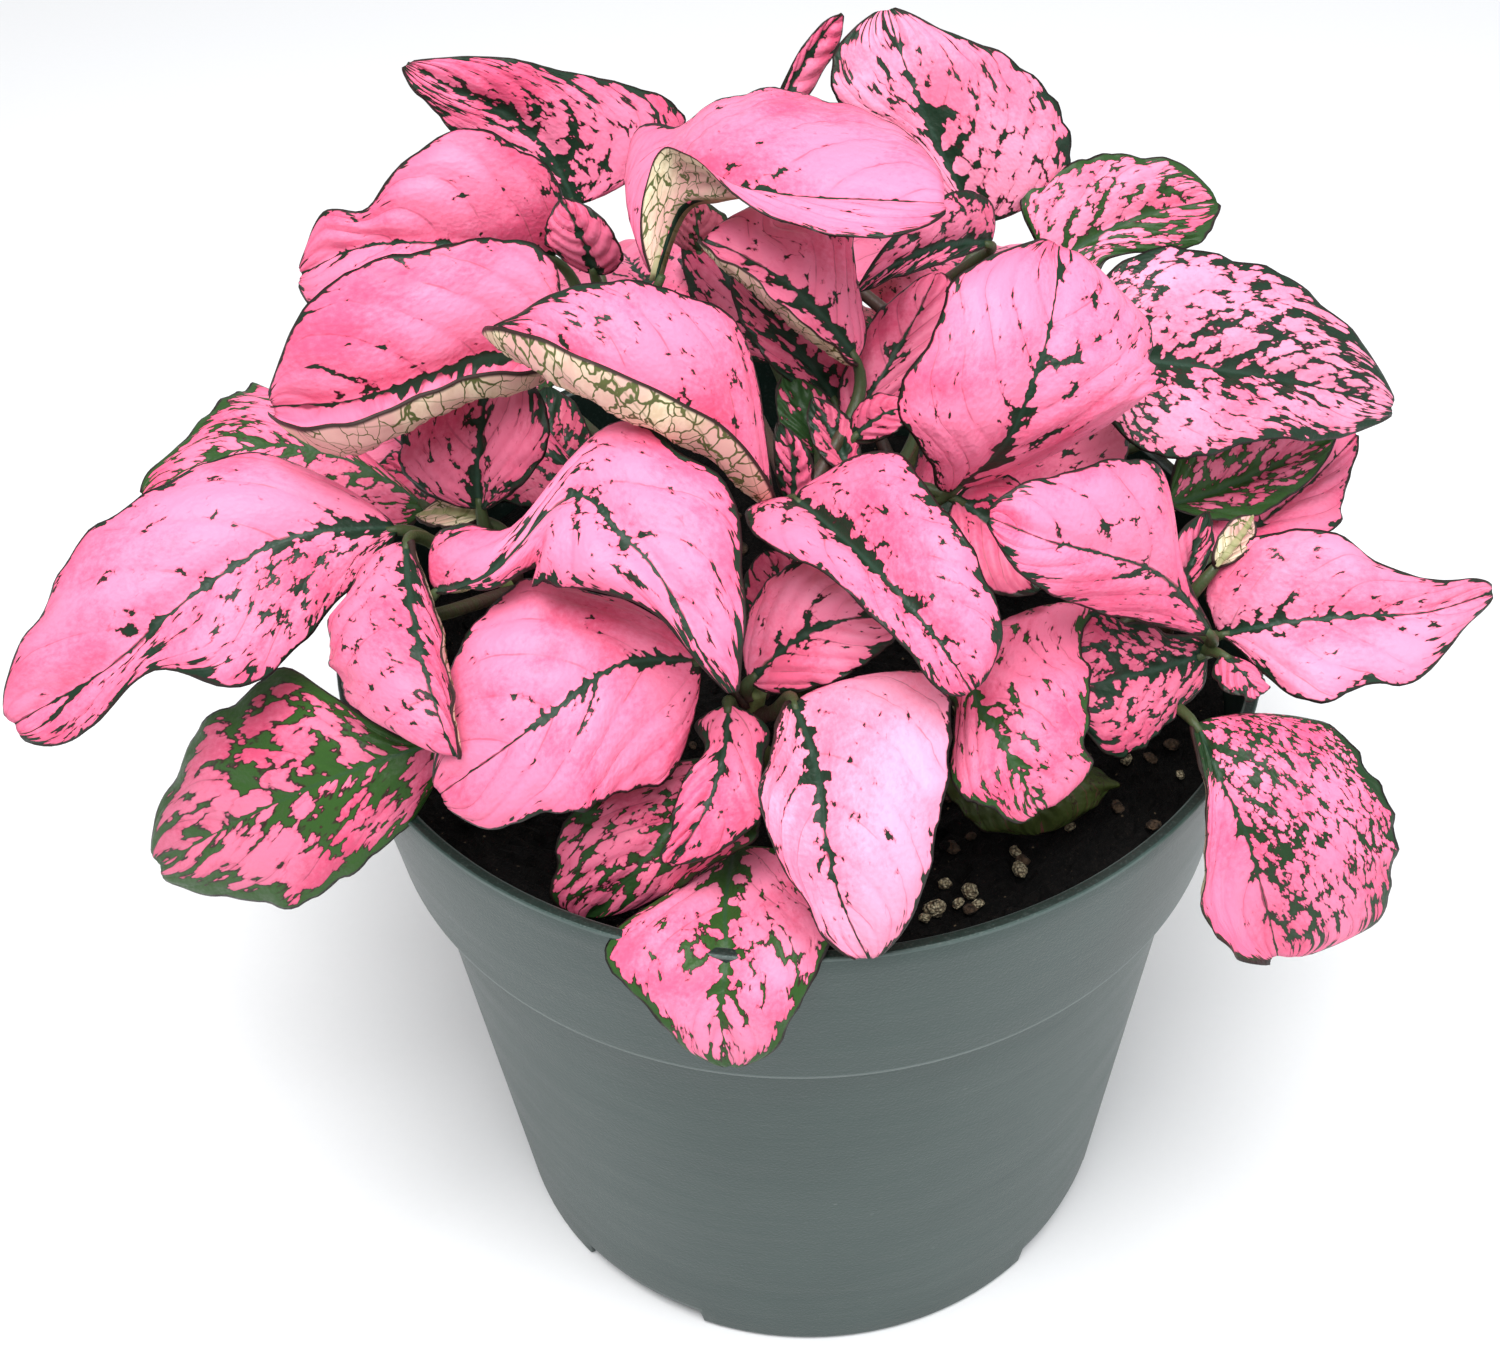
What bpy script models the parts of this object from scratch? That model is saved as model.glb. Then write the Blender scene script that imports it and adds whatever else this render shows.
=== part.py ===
"""Pink polka dot plant (Hypoestes) in a round nursery pot.

The origin is the centre of the pot's flat underside, +Z is up and -Y is the
plant's front.  The pot, the soil, the six stems and every leaf are separate
closed bodies.  A leaf is one body with its stalk: five points in millimetres
place its blade, and the stalk runs from its stem to the first of them.
"""
from math import cos, pi, radians, sin

import bmesh
import bpy
import numpy as np

MM = 0.001
CLEARANCE = 0.3            # gap left between bodies that touch

# Pot
POT_HEIGHT = 91.0
RIM_RADIUS = 52.0          # outside, at the top of the collar
COLLAR_FOOT_RADIUS = 49.25
COLLAR_FOOT = 68.2         # height where the collar meets the body
BODY_TOP_RADIUS = 46.75
BASE_RADIUS = 40.2
WALL = 1.5
FLOOR = 1.6
EDGE_ROUND = 0.5
POT_SIDES = 72

# Drain notches, cut up through the corner of the floor and the wall
NOTCH_ANGLES = (-124, -34, 56, 146)
NOTCH_HALF_ANGLE = 13
NOTCH_HEIGHT = 3.0
NOTCH_INNER_RADIUS = 32.0

# Soil
SOIL_TOP = 80.0
SOIL_CROWN = 0.8           # rise of its surface at the middle

# Stems and stalks
STEM_RADII = (1.7, 1.3, 0.9)   # foot, middle, tip
STALK_RADIUS = 0.75
STALK_LOOPS = 4
BLADE_THICKNESS = 0.45
RIB_THICKNESS = 0.8
BLADE_STEPS = (0.07, 0.2, 0.36, 0.54, 0.72, 0.87, 0.97)

# A blade faces up and a little to the front
FACING = np.array([0.0, -0.5, 1.0])

# Two exponents shape each half of a blade: low first ones make it broad near
# the stalk, low second ones make it broad near the tip.
OUTLINES = {
    "oval": (0.8, 0.75),
    "heart": (0.6, 0.55),
    "round": (0.85, 0.6),
    "blunt": (0.85, 0.45),
    "pear": (1.05, 0.55),
}

# name: foot x, y; middle x, y, z; tip x, y, z
STEMS = {
    "west": ((-14, -4), (-26, -4, 92), (-35, -6, 105)),
    "north_west": ((-10, 12), (-17, 20, 96), (-21, 27, 112)),
    "centre": ((0, -4), (2, -8, 96), (0, -8, 112)),
    "front": ((-4, -16), (-5, -22, 92), (-4, -27, 103)),
    "north_east": ((8, 18), (16, 28, 94), (15, 33, 110)),
    "east": ((18, -6), (32, -9, 87), (40, -10, 93)),
}

# name, stem, height of its joint; base, middle and tip of the midrib, left and
# right edge at the middle; outlines, lift of the left and right edge, twist of
# the base and the tip in degrees
LEAVES = (
    ("leaf_far_left", "west", 104,
     (-41, -11, 112), (-59, -20, 113), (-81, -26, 99), (-54, -28, 105), (-67, -13, 117),
     "heart pear", (0.1, 0.15)),
    ("leaf_left_behind", "west", 100,
     (-42, 1, 107), (-57, 8, 109), (-73, 5, 104), (-61, 3, 100), (-64, 16, 109)),
    ("leaf_upper_left_cupped", "north_west", 104,
     (-23, -4, 126), (-36, -8, 128), (-53, -6, 124), (-35, -11, 128), (-36, -2, 140),
     "round round", (-0.9, 0.1)),
    ("leaf_centre_cupped", "centre", 109,
     (-3, -14, 116), (-14, -16, 133), (-29, -10, 135), (-14, -23, 136), (-12, -8, 139),
     "round round", (-0.8, 0.1)),
    ("leaf_left_shaded", "west", 103,
     (-33, -7, 111), (-33, -5, 118), (-31, 2, 123), (-41, -5, 117), (-25, -9, 121)),
    ("leaf_left_folded", "west", 102,
     (-39, -17, 115), (-37, -32, 114), (-33, -40, 108), (-33, -36, 116), (-46, -27, 110),
     "round round", (-0.3, 0.2)),
    ("leaf_left_green", "west", 92,
     (-43, -30, 96), (-52, -31, 94), (-72, -24, 74), (-51, -36, 82), (-59, -20, 97),
     "blunt blunt"),
    ("leaf_top_left", "north_west", 101,
     (-25, 47, 115), (-30, 48, 127), (-44, 46, 135), (-39, 44, 125), (-21, 52, 130),
     "round heart"),
    ("leaf_top_left_folded", "north_west", 106,
     (-27, 27, 121), (-39, 21, 127), (-55, 22, 121), (-42, 16, 122), (-37, 26, 137),
     "round heart"),
    ("leaf_top_left_inner", "north_west", 110.8,
     (-22, 25, 119), (-23, 23, 125), (-25, 25, 129), (-27, 23, 125), (-19, 23, 125)),
    ("leaf_top_arched", "north_west", 109,
     (-15, 16, 124), (-1, 6, 140), (16, 2, 139), (-3, 24, 142), (0, -1, 140),
     "blunt round", (0.1, 0.1), (-60, 0)),
    ("leaf_top_bud", "north_east", 104,
     (-2, 46, 125), (3, 49, 133), (7, 51, 137), (2, 49, 134), (5, 50, 131)),
    ("leaf_top_right", "north_east", 107,
     (21, 42, 116), (17, 45, 128), (12, 52, 138), (5, 43, 128), (30, 49, 130),
     "round heart"),
    ("leaf_upper_right_small", "north_east", 100,
     (33, 36, 109), (42, 42, 114), (52, 44, 115), (37, 46, 121), (47, 39, 111),
     "heart heart"),
    ("leaf_right_upright", "centre", 104,
     (19, -12, 116), (23, -14, 130), (27, 0, 137), (11, -14, 132), (35, -9, 127),
     "blunt blunt"),
    ("leaf_right_spotted", "north_east", 104,
     (36, 10, 116), (49, 11, 114), (70, 20, 102), (51, 19, 122), (48, 3, 110),
     "heart heart"),
    ("leaf_right_shaded", "east", 90,
     (42, 6, 99), (52, 14, 96), (65, 24, 95), (51, 20, 102), (55, 10, 95)),
    ("leaf_right_behind", "east", 86,
     (47, 3, 94), (59, 16, 92), (69, 28, 92), (53, 23, 95), (64, 13, 91)),
    ("leaf_far_right", "east", 92.5,
     (47, -15, 100), (57, -18, 103), (75, -10, 99), (55, -11, 109), (57, -26, 99),
     "heart round"),
    ("leaf_heart_folded", "centre", 110,
     (7, 4, 121), (0, 5, 129), (-7, 8, 130), (-1, 0, 132), (6, 14, 130),
     "round round", (-0.3, 0.1)),
    ("leaf_heart_dark", "centre", 103,
     (5, 7, 113), (0, 10, 120), (-6, 17, 124), (-4, 9, 120), (5, 12, 120)),
    ("leaf_heart_spotted", "north_east", 109,
     (23, 28, 120), (15, 20, 124), (7, 12, 124), (13, 17, 123), (17, 23, 129)),
    ("leaf_heart_upright", "centre", 105.5,
     (6, 3, 113), (10, 7, 119), (13, 16, 121), (7, 9, 119), (15, 7, 118)),
    ("leaf_heart_back", "centre", 100.5,
     (14, 11, 108), (15, 18, 111), (16, 25, 112), (10, 20, 112), (20, 20, 110)),
    ("leaf_heart_tiny", "centre", 107.5,
     (7, -2, 115), (9, -3, 119), (12, -3, 120), (8, -1, 119), (10, -5, 118)),
    ("leaf_heart_bud", "centre", 111,
     (0, -9, 114), (0, -10, 118), (-2, -8, 122), (-2, -10, 118), (2, -9, 119)),
    ("leaf_heart_small", "centre", 98.5,
     (-2, 17, 112), (-6, 23, 115), (-10, 38, 113), (-9, 22, 115), (-3, 28, 115)),
    ("leaf_front_left_draped", "west", 98,
     (-33, -25, 117), (-16, -29, 126), (-6, -40, 114), (-11, -23, 128), (-22, -32, 121),
     "pear round", (0.1, 0.2)),
    ("leaf_front_left_broad", "front", 100,
     (-10, -28, 108), (-21, -38, 112), (-35, -40, 102), (-19, -44, 104), (-28, -28, 116),
     "round blunt"),
    ("leaf_front_narrow", "front", 97,
     (-7, -30, 104), (-8, -39, 103), (-13, -44, 96), (-3, -40, 102), (-12, -39, 102)),
    ("leaf_front_pale", "front", 99,
     (1, -34, 107), (2, -48, 106), (6, -54, 94), (14, -44, 108), (-4, -48, 109),
     "heart round", (0.1, -0.2)),
    ("leaf_front_inner", "front", 101.8,
     (-3, -28, 107), (2, -29, 113), (8, -28, 115), (-1, -25, 115), (6, -32, 110)),
    ("leaf_front_centre", "centre", 106,
     (3, -17, 117), (9, -33, 121), (17, -40, 113), (15, -27, 126), (4, -33, 123),
     "blunt round"),
    ("leaf_front_right_pink", "east", 91,
     (46, -21, 104), (29, -28, 120), (18, -28, 126), (24, -31, 118), (31, -21, 126)),
    ("leaf_front_right_green", "centre", 98,
     (17, -20, 107), (18, -35, 107), (23, -41, 98), (28, -30, 108), (14, -39, 104),
     "blunt blunt"),
    ("leaf_right_dark", "east", 89,
     (40, -21, 99), (33, -25, 101), (25, -28, 103), (35, -28, 95), (33, -20, 106)),
    ("leaf_lower_right_hanging", "east", 83.6,
     (44, -29, 96), (44, -38, 93), (50, -41, 75), (58, -35, 93), (39, -42, 91),
     "blunt round", (0.1, -0.3)),
    ("leaf_lower_left_spotted", "front", 92,
     (-8, -31, 97), (-15, -40, 95), (-23, -41, 87), (-10, -40, 96), (-24, -38, 97)),
    ("leaf_rim_front", "front", 86,
     (-7, -36, 89), (-7, -51, 93), (-7, -57, 80), (2, -51, 94), (-19, -51, 92),
     "oval oval"),
    ("leaf_right_curl", "east", 85.8,
     (48, -25, 99), (48, -28, 101), (49, -31, 98), (50, -28, 100), (46, -30, 100)),
    ("leaf_soil_olive", "east", 82.5,
     (22, -23, 91), (24, -29, 90), (25, -31, 85), (33, -27, 88), (15, -31, 91)),
    ("leaf_right_sliver", "east", 92.5,
     (41, -11, 100), (42, -9, 104), (44, -4, 106), (39, -10, 105), (44, -8, 104)),
    # inside and round the back, where the plant is its own screen
    ("leaf_inner_left", "north_west", 94,
     (-24, 8, 104), (-36, 14, 107), (-48, 20, 103), (-34, 5, 103), (-39, 24, 107)),
    ("leaf_inner_right", "centre", 94,
     (14, 2, 100), (27, 10, 104), (38, 24, 104), (20, 20, 104), (33, 1, 102)),
    ("leaf_back_left_low", "north_west", 92,
     (-31, 40, 93), (-44, 58, 90), (-58, 72, 80), (-56, 48, 87), (-33, 69, 87)),
    ("leaf_back_left_high", "north_west", 98,
     (-14, 46, 96), (-21, 66, 95), (-26, 86, 86), (-37, 62, 91), (-7, 72, 92)),
    ("leaf_back_middle", "north_east", 99,
     (0, 46, 101), (2, 65, 101), (4, 84, 93), (-14, 63, 99), (18, 65, 99)),
    ("leaf_back_right_high", "north_east", 94,
     (17, 48, 94), (25, 68, 93), (33, 86, 83), (12, 73, 91), (41, 64, 92)),
    ("leaf_back_right_low", "north_east", 90,
     (33, 42, 93), (47, 57, 90), (60, 70, 80), (36, 67, 87), (58, 48, 87)),
    ("leaf_back_far_left", "north_west", 89,
     (-42, 25, 98), (-58, 34, 96), (-74, 42, 86), (-64, 24, 92), (-52, 46, 97)),
    ("leaf_back_far_right", "north_east", 87,
     (46, 26, 95), (60, 38, 93), (73, 50, 83), (53, 48, 91), (67, 30, 89)),
    ("leaf_back_hanging", "north_east", 88,
     (3, 50, 96), (2, 63, 91), (0, 70, 76), (-11, 62, 86), (14, 62, 86)),
)


def unit(vector):
    return vector / np.linalg.norm(vector)


def bezier(points, t):
    """Point and unit tangent of a quadratic or cubic curve."""
    points = [np.asarray(p, float) for p in points]
    while len(points) > 2:
        points = [a + (b - a) * t for a, b in zip(points, points[1:])]
    return points[0] + (points[1] - points[0]) * t, unit(points[1] - points[0])


def through(start, middle, end):
    """Control points of the quadratic curve that passes the middle halfway."""
    start, middle, end = (np.asarray(p, float) for p in (start, middle, end))
    return start, 2 * middle - (start + end) / 2, end


def material(name, colour, roughness):
    mat = bpy.data.materials.new(name)
    mat.use_nodes = True
    shader = mat.node_tree.nodes["Principled BSDF"]
    shader.inputs["Base Color"].default_value = (*colour, 1)
    shader.inputs["Roughness"].default_value = roughness
    return mat


def closed_tube(name, loops, mat):
    """Body skinned over equal loops of points in millimetres, capped at both ends."""
    bm = bmesh.new()
    rings = [[bm.verts.new(p * MM) for p in loop] for loop in loops]
    for low, high in zip(rings, rings[1:]):
        for i in range(len(low)):
            j = (i + 1) % len(low)
            bm.faces.new((low[i], low[j], high[j], high[i]))
    bm.faces.new(reversed(rings[0]))
    bm.faces.new(rings[-1])
    bmesh.ops.triangulate(bm, faces=bm.faces)
    bmesh.ops.recalc_face_normals(bm, faces=bm.faces)
    return finish(name, bm, mat)


def finish(name, bm, mat):
    mesh = bpy.data.meshes.new(name)
    bm.to_mesh(mesh)
    bm.free()
    mesh.materials.append(mat)
    for face in mesh.polygons:
        face.use_smooth = True
    obj = bpy.data.objects.new(name, mesh)
    bpy.context.scene.collection.objects.link(obj)
    return obj


def lathe(name, profile, mat):
    """Body turned about Z from (radius, height) points, first and last on the axis."""
    bm = bmesh.new()
    ends = [bm.verts.new((0, 0, profile[i][1] * MM)) for i in (0, -1)]
    angles = [2 * pi * i / POT_SIDES for i in range(POT_SIDES)]
    rings = [[bm.verts.new((r * cos(a) * MM, r * sin(a) * MM, z * MM)) for a in angles]
             for r, z in profile[1:-1]]
    for i in range(POT_SIDES):
        j = (i + 1) % POT_SIDES
        bm.faces.new((ends[0], rings[0][j], rings[0][i]))
        bm.faces.new((ends[1], rings[-1][i], rings[-1][j]))
        for low, high in zip(rings, rings[1:]):
            bm.faces.new((low[i], low[j], high[j], high[i]))
    bmesh.ops.recalc_face_normals(bm, faces=bm.faces)
    return finish(name, bm, mat)


def inner_radius(height):
    """Radius of the pot's inside wall at a height."""
    if height > COLLAR_FOOT + WALL:
        share = (height - COLLAR_FOOT) / (POT_HEIGHT - COLLAR_FOOT)
        return COLLAR_FOOT_RADIUS + (RIM_RADIUS - COLLAR_FOOT_RADIUS) * share - WALL
    return BASE_RADIUS + (BODY_TOP_RADIUS - BASE_RADIUS) * height / COLLAR_FOOT - WALL


def notch_cutter(index, angle):
    """Wedge that cuts one drain notch; it is only a tool, not part of the pot."""
    bm = bmesh.new()
    steps = 6
    for height in (-2.0, NOTCH_HEIGHT):
        for radius in (NOTCH_INNER_RADIUS, BASE_RADIUS + 3):
            for i in range(steps + 1):
                a = radians(angle + NOTCH_HALF_ANGLE * (2 * i / steps - 1))
                bm.verts.new((radius * cos(a) * MM, radius * sin(a) * MM, height * MM))
    bmesh.ops.convex_hull(bm, input=bm.verts)
    cutter = finish(f"notch_cutter_{index}", bm, None)
    cutter.hide_render = True
    cutter.display_type = "WIRE"
    return cutter


def make_pot(mat):
    ledge = COLLAR_FOOT + WALL
    pot = lathe("pot", (
        (0, 0),
        (BASE_RADIUS - EDGE_ROUND, 0),
        (BASE_RADIUS, EDGE_ROUND),
        (BODY_TOP_RADIUS, COLLAR_FOOT),
        (COLLAR_FOOT_RADIUS - EDGE_ROUND, COLLAR_FOOT),
        (COLLAR_FOOT_RADIUS, COLLAR_FOOT + EDGE_ROUND),
        (RIM_RADIUS, POT_HEIGHT - EDGE_ROUND),
        (RIM_RADIUS - EDGE_ROUND, POT_HEIGHT),
        (RIM_RADIUS - WALL + EDGE_ROUND / 2, POT_HEIGHT),
        (inner_radius(POT_HEIGHT - EDGE_ROUND), POT_HEIGHT - EDGE_ROUND),
        (inner_radius(ledge + 0.01), ledge),
        (inner_radius(ledge - 0.01), ledge),
        (inner_radius(FLOOR), FLOOR),
        (0, FLOOR),
    ), mat)
    for index, angle in enumerate(NOTCH_ANGLES, 1):
        cut = pot.modifiers.new(f"notch {index}", "BOOLEAN")
        cut.operation = "DIFFERENCE"
        cut.solver = "EXACT"
        cut.object = notch_cutter(index, angle)


def make_soil(mat):
    ledge = COLLAR_FOOT + WALL + CLEARANCE
    bottom = FLOOR + CLEARANCE
    lathe("soil", (
        (0, bottom),
        (inner_radius(bottom) - CLEARANCE, bottom),
        (inner_radius(ledge - 0.5) - CLEARANCE, ledge),
        (inner_radius(ledge) - CLEARANCE, ledge),
        (inner_radius(SOIL_TOP) - CLEARANCE, SOIL_TOP),
        (RIM_RADIUS / 2, SOIL_TOP + SOIL_CROWN * 0.75),
        (0, SOIL_TOP + SOIL_CROWN),
    ), mat)


def stem_curve(stem):
    foot, middle, tip = STEMS[stem]
    return through((*foot, SOIL_TOP + SOIL_CROWN + CLEARANCE), middle, tip)


def stem_at(stem, height):
    """Point, tangent and radius of a stem at a height."""
    low, high = 0.0, 1.0
    for _ in range(30):
        t = (low + high) / 2
        point, tangent = bezier(stem_curve(stem), t)
        low, high = (t, high) if point[2] < height else (low, t)
    return point, tangent, stem_radius(t)


def stem_radius(t):
    foot, middle, tip = STEM_RADII
    return np.interp(t, (0, 0.5, 1), (foot, middle, tip))


def ring(centre, across, tangent, radius, sides=8):
    """Points round a tube, first on the left, then over the top."""
    over = np.cross(across, tangent)
    return [centre + radius * (-cos(a) * across + sin(a) * over)
            for a in (2 * pi * i / sides for i in range(sides))]


def make_stem(stem, mat):
    loops = []
    for t in (0.0, 0.2, 0.4, 0.6, 0.8, 0.97):
        point, tangent = bezier(stem_curve(stem), t)
        across = unit(np.cross(tangent, (0, 1, 0)))
        loops.append(ring(point, across, tangent, stem_radius(t)))
    foot = loops[0]
    height = SOIL_TOP + SOIL_CROWN + CLEARANCE
    loops[0] = [np.array((p[0], p[1], height)) for p in foot]
    closed_tube(f"stem_{stem}", loops, mat)


def outline(v, shape):
    """Width of half a blade along its length, as a share of its middle width."""
    rise, fall = OUTLINES[shape]
    return (sin(pi * v ** rise) / sin(pi * 0.5 ** rise)) ** fall


def make_leaf(mat, name, stem, joint, base, middle, tip, left, right,
              shapes="round round", lift=(0.1, 0.1), twist=(0, 0)):
    rib = through(base, middle, tip)
    start, _ = bezier(rib, 0)
    _, along = bezier(rib, 0.5)
    across = unit(np.cross(along, FACING))
    facing = np.cross(across, along)
    shapes = shapes.split()

    def blade_loop(v):
        point, tangent = bezier(rib, v)
        up = unit(np.cross(across, tangent))
        turn = twist[0] * max(0, 1 - 2 * v) ** 2 + twist[1] * max(0, 2 * v - 1) ** 2
        c, s = cos(radians(turn)), sin(radians(turn))
        top = {0: point}
        for side, edge, edge_lift, shape in zip((-1, 1), (left, right), lift, shapes):
            offset = np.asarray(edge, float) - np.asarray(middle, float)
            x, y, z = offset @ across, offset @ facing, offset @ along
            for u in (0.5, 1):
                rise = 4 * edge_lift * u * (1 - u) * side
                px, py = x * u - rise * y, y * u + rise * x
                top[side * u] = point + outline(v, shape) * (
                    (px * c + py * s) * across + (py * c - px * s) * up + z * u * along)
        under = [top[u] - thick * up for u, thick in
                 ((0.5, BLADE_THICKNESS), (0, RIB_THICKNESS), (-0.5, BLADE_THICKNESS))]
        return [top[u] for u in (-1, -0.5, 0, 0.5, 1)] + under

    # the stalk leaves the stem outwards and upwards and meets the midrib
    axis, growth, radius = stem_at(stem, joint)
    out = start - axis
    out = unit(out - (out @ growth) * growth)
    root = axis + out * (radius + CLEARANCE + STALK_RADIUS)
    reach = np.linalg.norm(start - root)
    _, arrival = bezier(rib, 0)
    stalk = (root, root + unit(out + growth) * reach * 0.4, start - arrival * reach * 0.35, start)
    loops = []
    side = across
    for i in range(STALK_LOOPS, -1, -1):
        point, tangent = bezier(stalk, i / (STALK_LOOPS + 0.5))
        side = unit(side - (side @ tangent) * tangent)
        loops.append(ring(point, side, tangent, STALK_RADIUS))
    loops.reverse()
    closed_tube(name, loops + [blade_loop(v) for v in BLADE_STEPS], mat)


def main():
    for obj in list(bpy.data.objects):
        bpy.data.objects.remove(obj, do_unlink=True)
    make_pot(material("pot_plastic", (0.16, 0.22, 0.19), 0.45))
    make_soil(material("potting_mix", (0.015, 0.013, 0.011), 0.95))
    green_stem = material("stem_tissue", (0.1, 0.16, 0.05), 0.5)
    for stem in STEMS:
        make_stem(stem, green_stem)
    pink_leaf = material("leaf_tissue", (0.85, 0.25, 0.45), 0.5)
    for leaf in LEAVES:
        make_leaf(pink_leaf, *leaf)


main()
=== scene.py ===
"""Looks for the potted polka dot plant: fine leaves, stems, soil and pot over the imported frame.

Lengths are in millimetres until a mesh is made.  Every piece lies on its frame node, apart
from the young leaves, which have none.  The leaves are thinner and more shaped than the
frame's, and leave them by up to a few millimetres.
"""
from math import cos, pi, radians, sin

import bpy
import numpy as np
from mathutils import Matrix, Vector

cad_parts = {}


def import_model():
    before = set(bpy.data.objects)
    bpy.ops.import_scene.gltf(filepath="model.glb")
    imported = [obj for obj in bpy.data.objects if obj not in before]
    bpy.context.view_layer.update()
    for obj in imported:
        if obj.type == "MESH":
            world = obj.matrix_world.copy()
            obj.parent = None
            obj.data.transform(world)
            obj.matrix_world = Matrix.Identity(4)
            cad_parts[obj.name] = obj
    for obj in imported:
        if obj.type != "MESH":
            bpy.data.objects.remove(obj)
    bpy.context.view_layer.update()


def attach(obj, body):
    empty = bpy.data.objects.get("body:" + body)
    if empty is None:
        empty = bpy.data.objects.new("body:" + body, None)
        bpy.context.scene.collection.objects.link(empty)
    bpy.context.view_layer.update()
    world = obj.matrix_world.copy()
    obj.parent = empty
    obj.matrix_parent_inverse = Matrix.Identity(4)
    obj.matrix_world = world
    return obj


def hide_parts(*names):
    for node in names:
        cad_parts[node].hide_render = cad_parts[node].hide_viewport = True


MM = 0.001

# Pot
POT_HEIGHT = 91.0
RIM_RADIUS = 52.0
COLLAR_FOOT_RADIUS = 49.25
COLLAR_FOOT = 68.2
BODY_TOP_RADIUS = 46.75
BASE_RADIUS = 40.2
WALL = 1.5
FLOOR = 1.6
RIM_ROUND = 0.3
LIP_ROUND = 0.6
COLLAR_ROUND = 0.5
STEP_ROUND = 0.4
FOOT_ROUND = 1.0
NOTCH_ANGLES = (-124, -34, 56, 146)
NOTCH_HALF_ANGLE = 13
NOTCH_HEIGHT = 3.0
NOTCH_INNER_RADIUS = 32.0
RECESS = 0.9               # height of the middle of the underside
RECESS_RADIUS = NOTCH_INNER_RADIUS - 2

# Soil
SOIL_TOP = 80.0
SOIL_CROWN = 0.8
SOIL_RINGS, SOIL_SIDES = 72, 200
PEAT, WHITE, BARK = range(3)           # materials of the soil
LUMPS = 170
LUMP_ROWS, LUMP_SIDES = 7, 9
# share of the lumps up to this kind, least and greatest size, squash, material
LUMP_KINDS = ((0.08, 0.5, 1.1, 0.75, WHITE), (0.45, 0.6, 1.4, 0.4, BARK), (1.0, 0.7, 1.6, 0.7, PEAT))
# perlite in front of the stems: x, y, size
PERLITE = ((13.5, -37.2, 1.25), (14.8, -33.7, 0.8), (17.3, -34.8, 1.1), (12.4, -38.3, 0.7),
           (16.0, -36.4, 0.75), (22.5, -29.4, 0.8), (28.7, -25.9, 0.7), (36, -16, 0.9))

# Stems and stalks
STEM_RADII = (1.7, 1.3, 0.9)
STEM_SLIMNESS = 0.93       # radius between the corners and nodes, as a share of the frame's
STEM_NODES = 3.2           # swollen nodes along a stem
STEM_END = 0.995           # where the last ring lies, just under the tip
STEM_RINGS, STEM_SIDES = 34, 16
STALK_RADIUS = 0.75
STALK_DEPTH = 0.3          # how far a stalk starts inside its stem
STALK_STEPS, STALK_SIDES = 14, 10
CLEARANCE = 0.3            # gap between the frame's pieces

# Leaves
FACE, BACK, STALK = range(3)           # materials of a leaf
ALONG = 52                 # steps from base to tip
ACROSS = 15                # steps from midrib to margin
BLADE_START, BLADE_END = 0.004, 0.985  # the ends of a blade aren't quite points
THICKNESS = 0.32           # of a blade away from its veins
VEINS = 5.5                # side veins along one half
TIP_PINCH, TIP_LENGTH = 0.14, 0.09     # how much narrower the last part of a blade is
BOX = ((-81.85, -57.02, 0), (73.79, 85.77, 143.7))    # the looks stay inside the frame's box
FACING = np.array([0.0, -0.5, 1.0])    # a blade faces up and a little to the front

# Stage
FLOOR_REACH = 900
CAMERA_POSITION = (0, -178.3, 245.5)
CAMERA_AIM = (-5.7, 0, 79.9)
CAMERA_ROLL = -2.55
CAMERA_LENS = 49.92

# Two exponents shape each half of a blade: low first ones make it broad near
# the stalk, low second ones make it broad near the tip.
OUTLINES = {
    "oval": (0.8, 0.75),
    "heart": (0.6, 0.55),
    "round": (0.85, 0.6),
    "blunt": (0.85, 0.45),
    "pear": (1.05, 0.55),
}

# name: foot x, y; middle x, y, z; tip x, y, z
STEMS = {
    "west": ((-14, -4), (-26, -4, 92), (-35, -6, 105)),
    "north_west": ((-10, 12), (-17, 20, 96), (-21, 27, 112)),
    "centre": ((0, -4), (2, -8, 96), (0, -8, 112)),
    "front": ((-4, -16), (-5, -22, 92), (-4, -27, 103)),
    "north_east": ((8, 18), (16, 28, 94), (15, 33, 110)),
    "east": ((18, -6), (32, -9, 87), (40, -10, 93)),
}

STRAIGHT = (0, 0)
EVEN = (1, 1)
OVER = ((180, 180), (-180, -180))

# What a leaf is like where its row says nothing else.  outlines, lift, wide and twist
# are for the left half, then the right one.
#   outlines, lift    shape of each half, and how far it cups
#   bow               mm that the midrib bows to the right, evenly spaced from base to tip
#   wide              width beside the plain outline, evenly spaced from base to tip
#   waver             how uneven the margin of a leaf with no bow or widths is
#   twist, fan        degrees that each half turns about the midrib, from base to tip, and
#                     how far they turn with its bend
#   spots             share of the blade, or of each half, that is dark green
#   rib, side, rim    width in mm of the jagged dark band on midrib, side veins and margin
#   painted_shade     painted shade above 0, darker and more crimson for a leaf in shadow; pale pink below
#   quilt, grain      height in mm of the swelling between veins, and size of the marks
#   olive, green      from pink to olive, and from blackish to bright green
LOOK = dict(outlines="round round", lift=(0.1, 0.1), bow=STRAIGHT, wide=(EVEN, EVEN), waver=0.02,
            twist=(STRAIGHT, STRAIGHT), fan=0.0, spots=0.3, rib=0.53, side=0.7, rim=0.0, painted_shade=0.0,
            quilt=0.45, grain=1.0, olive=0.0, green=0.1)

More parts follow.
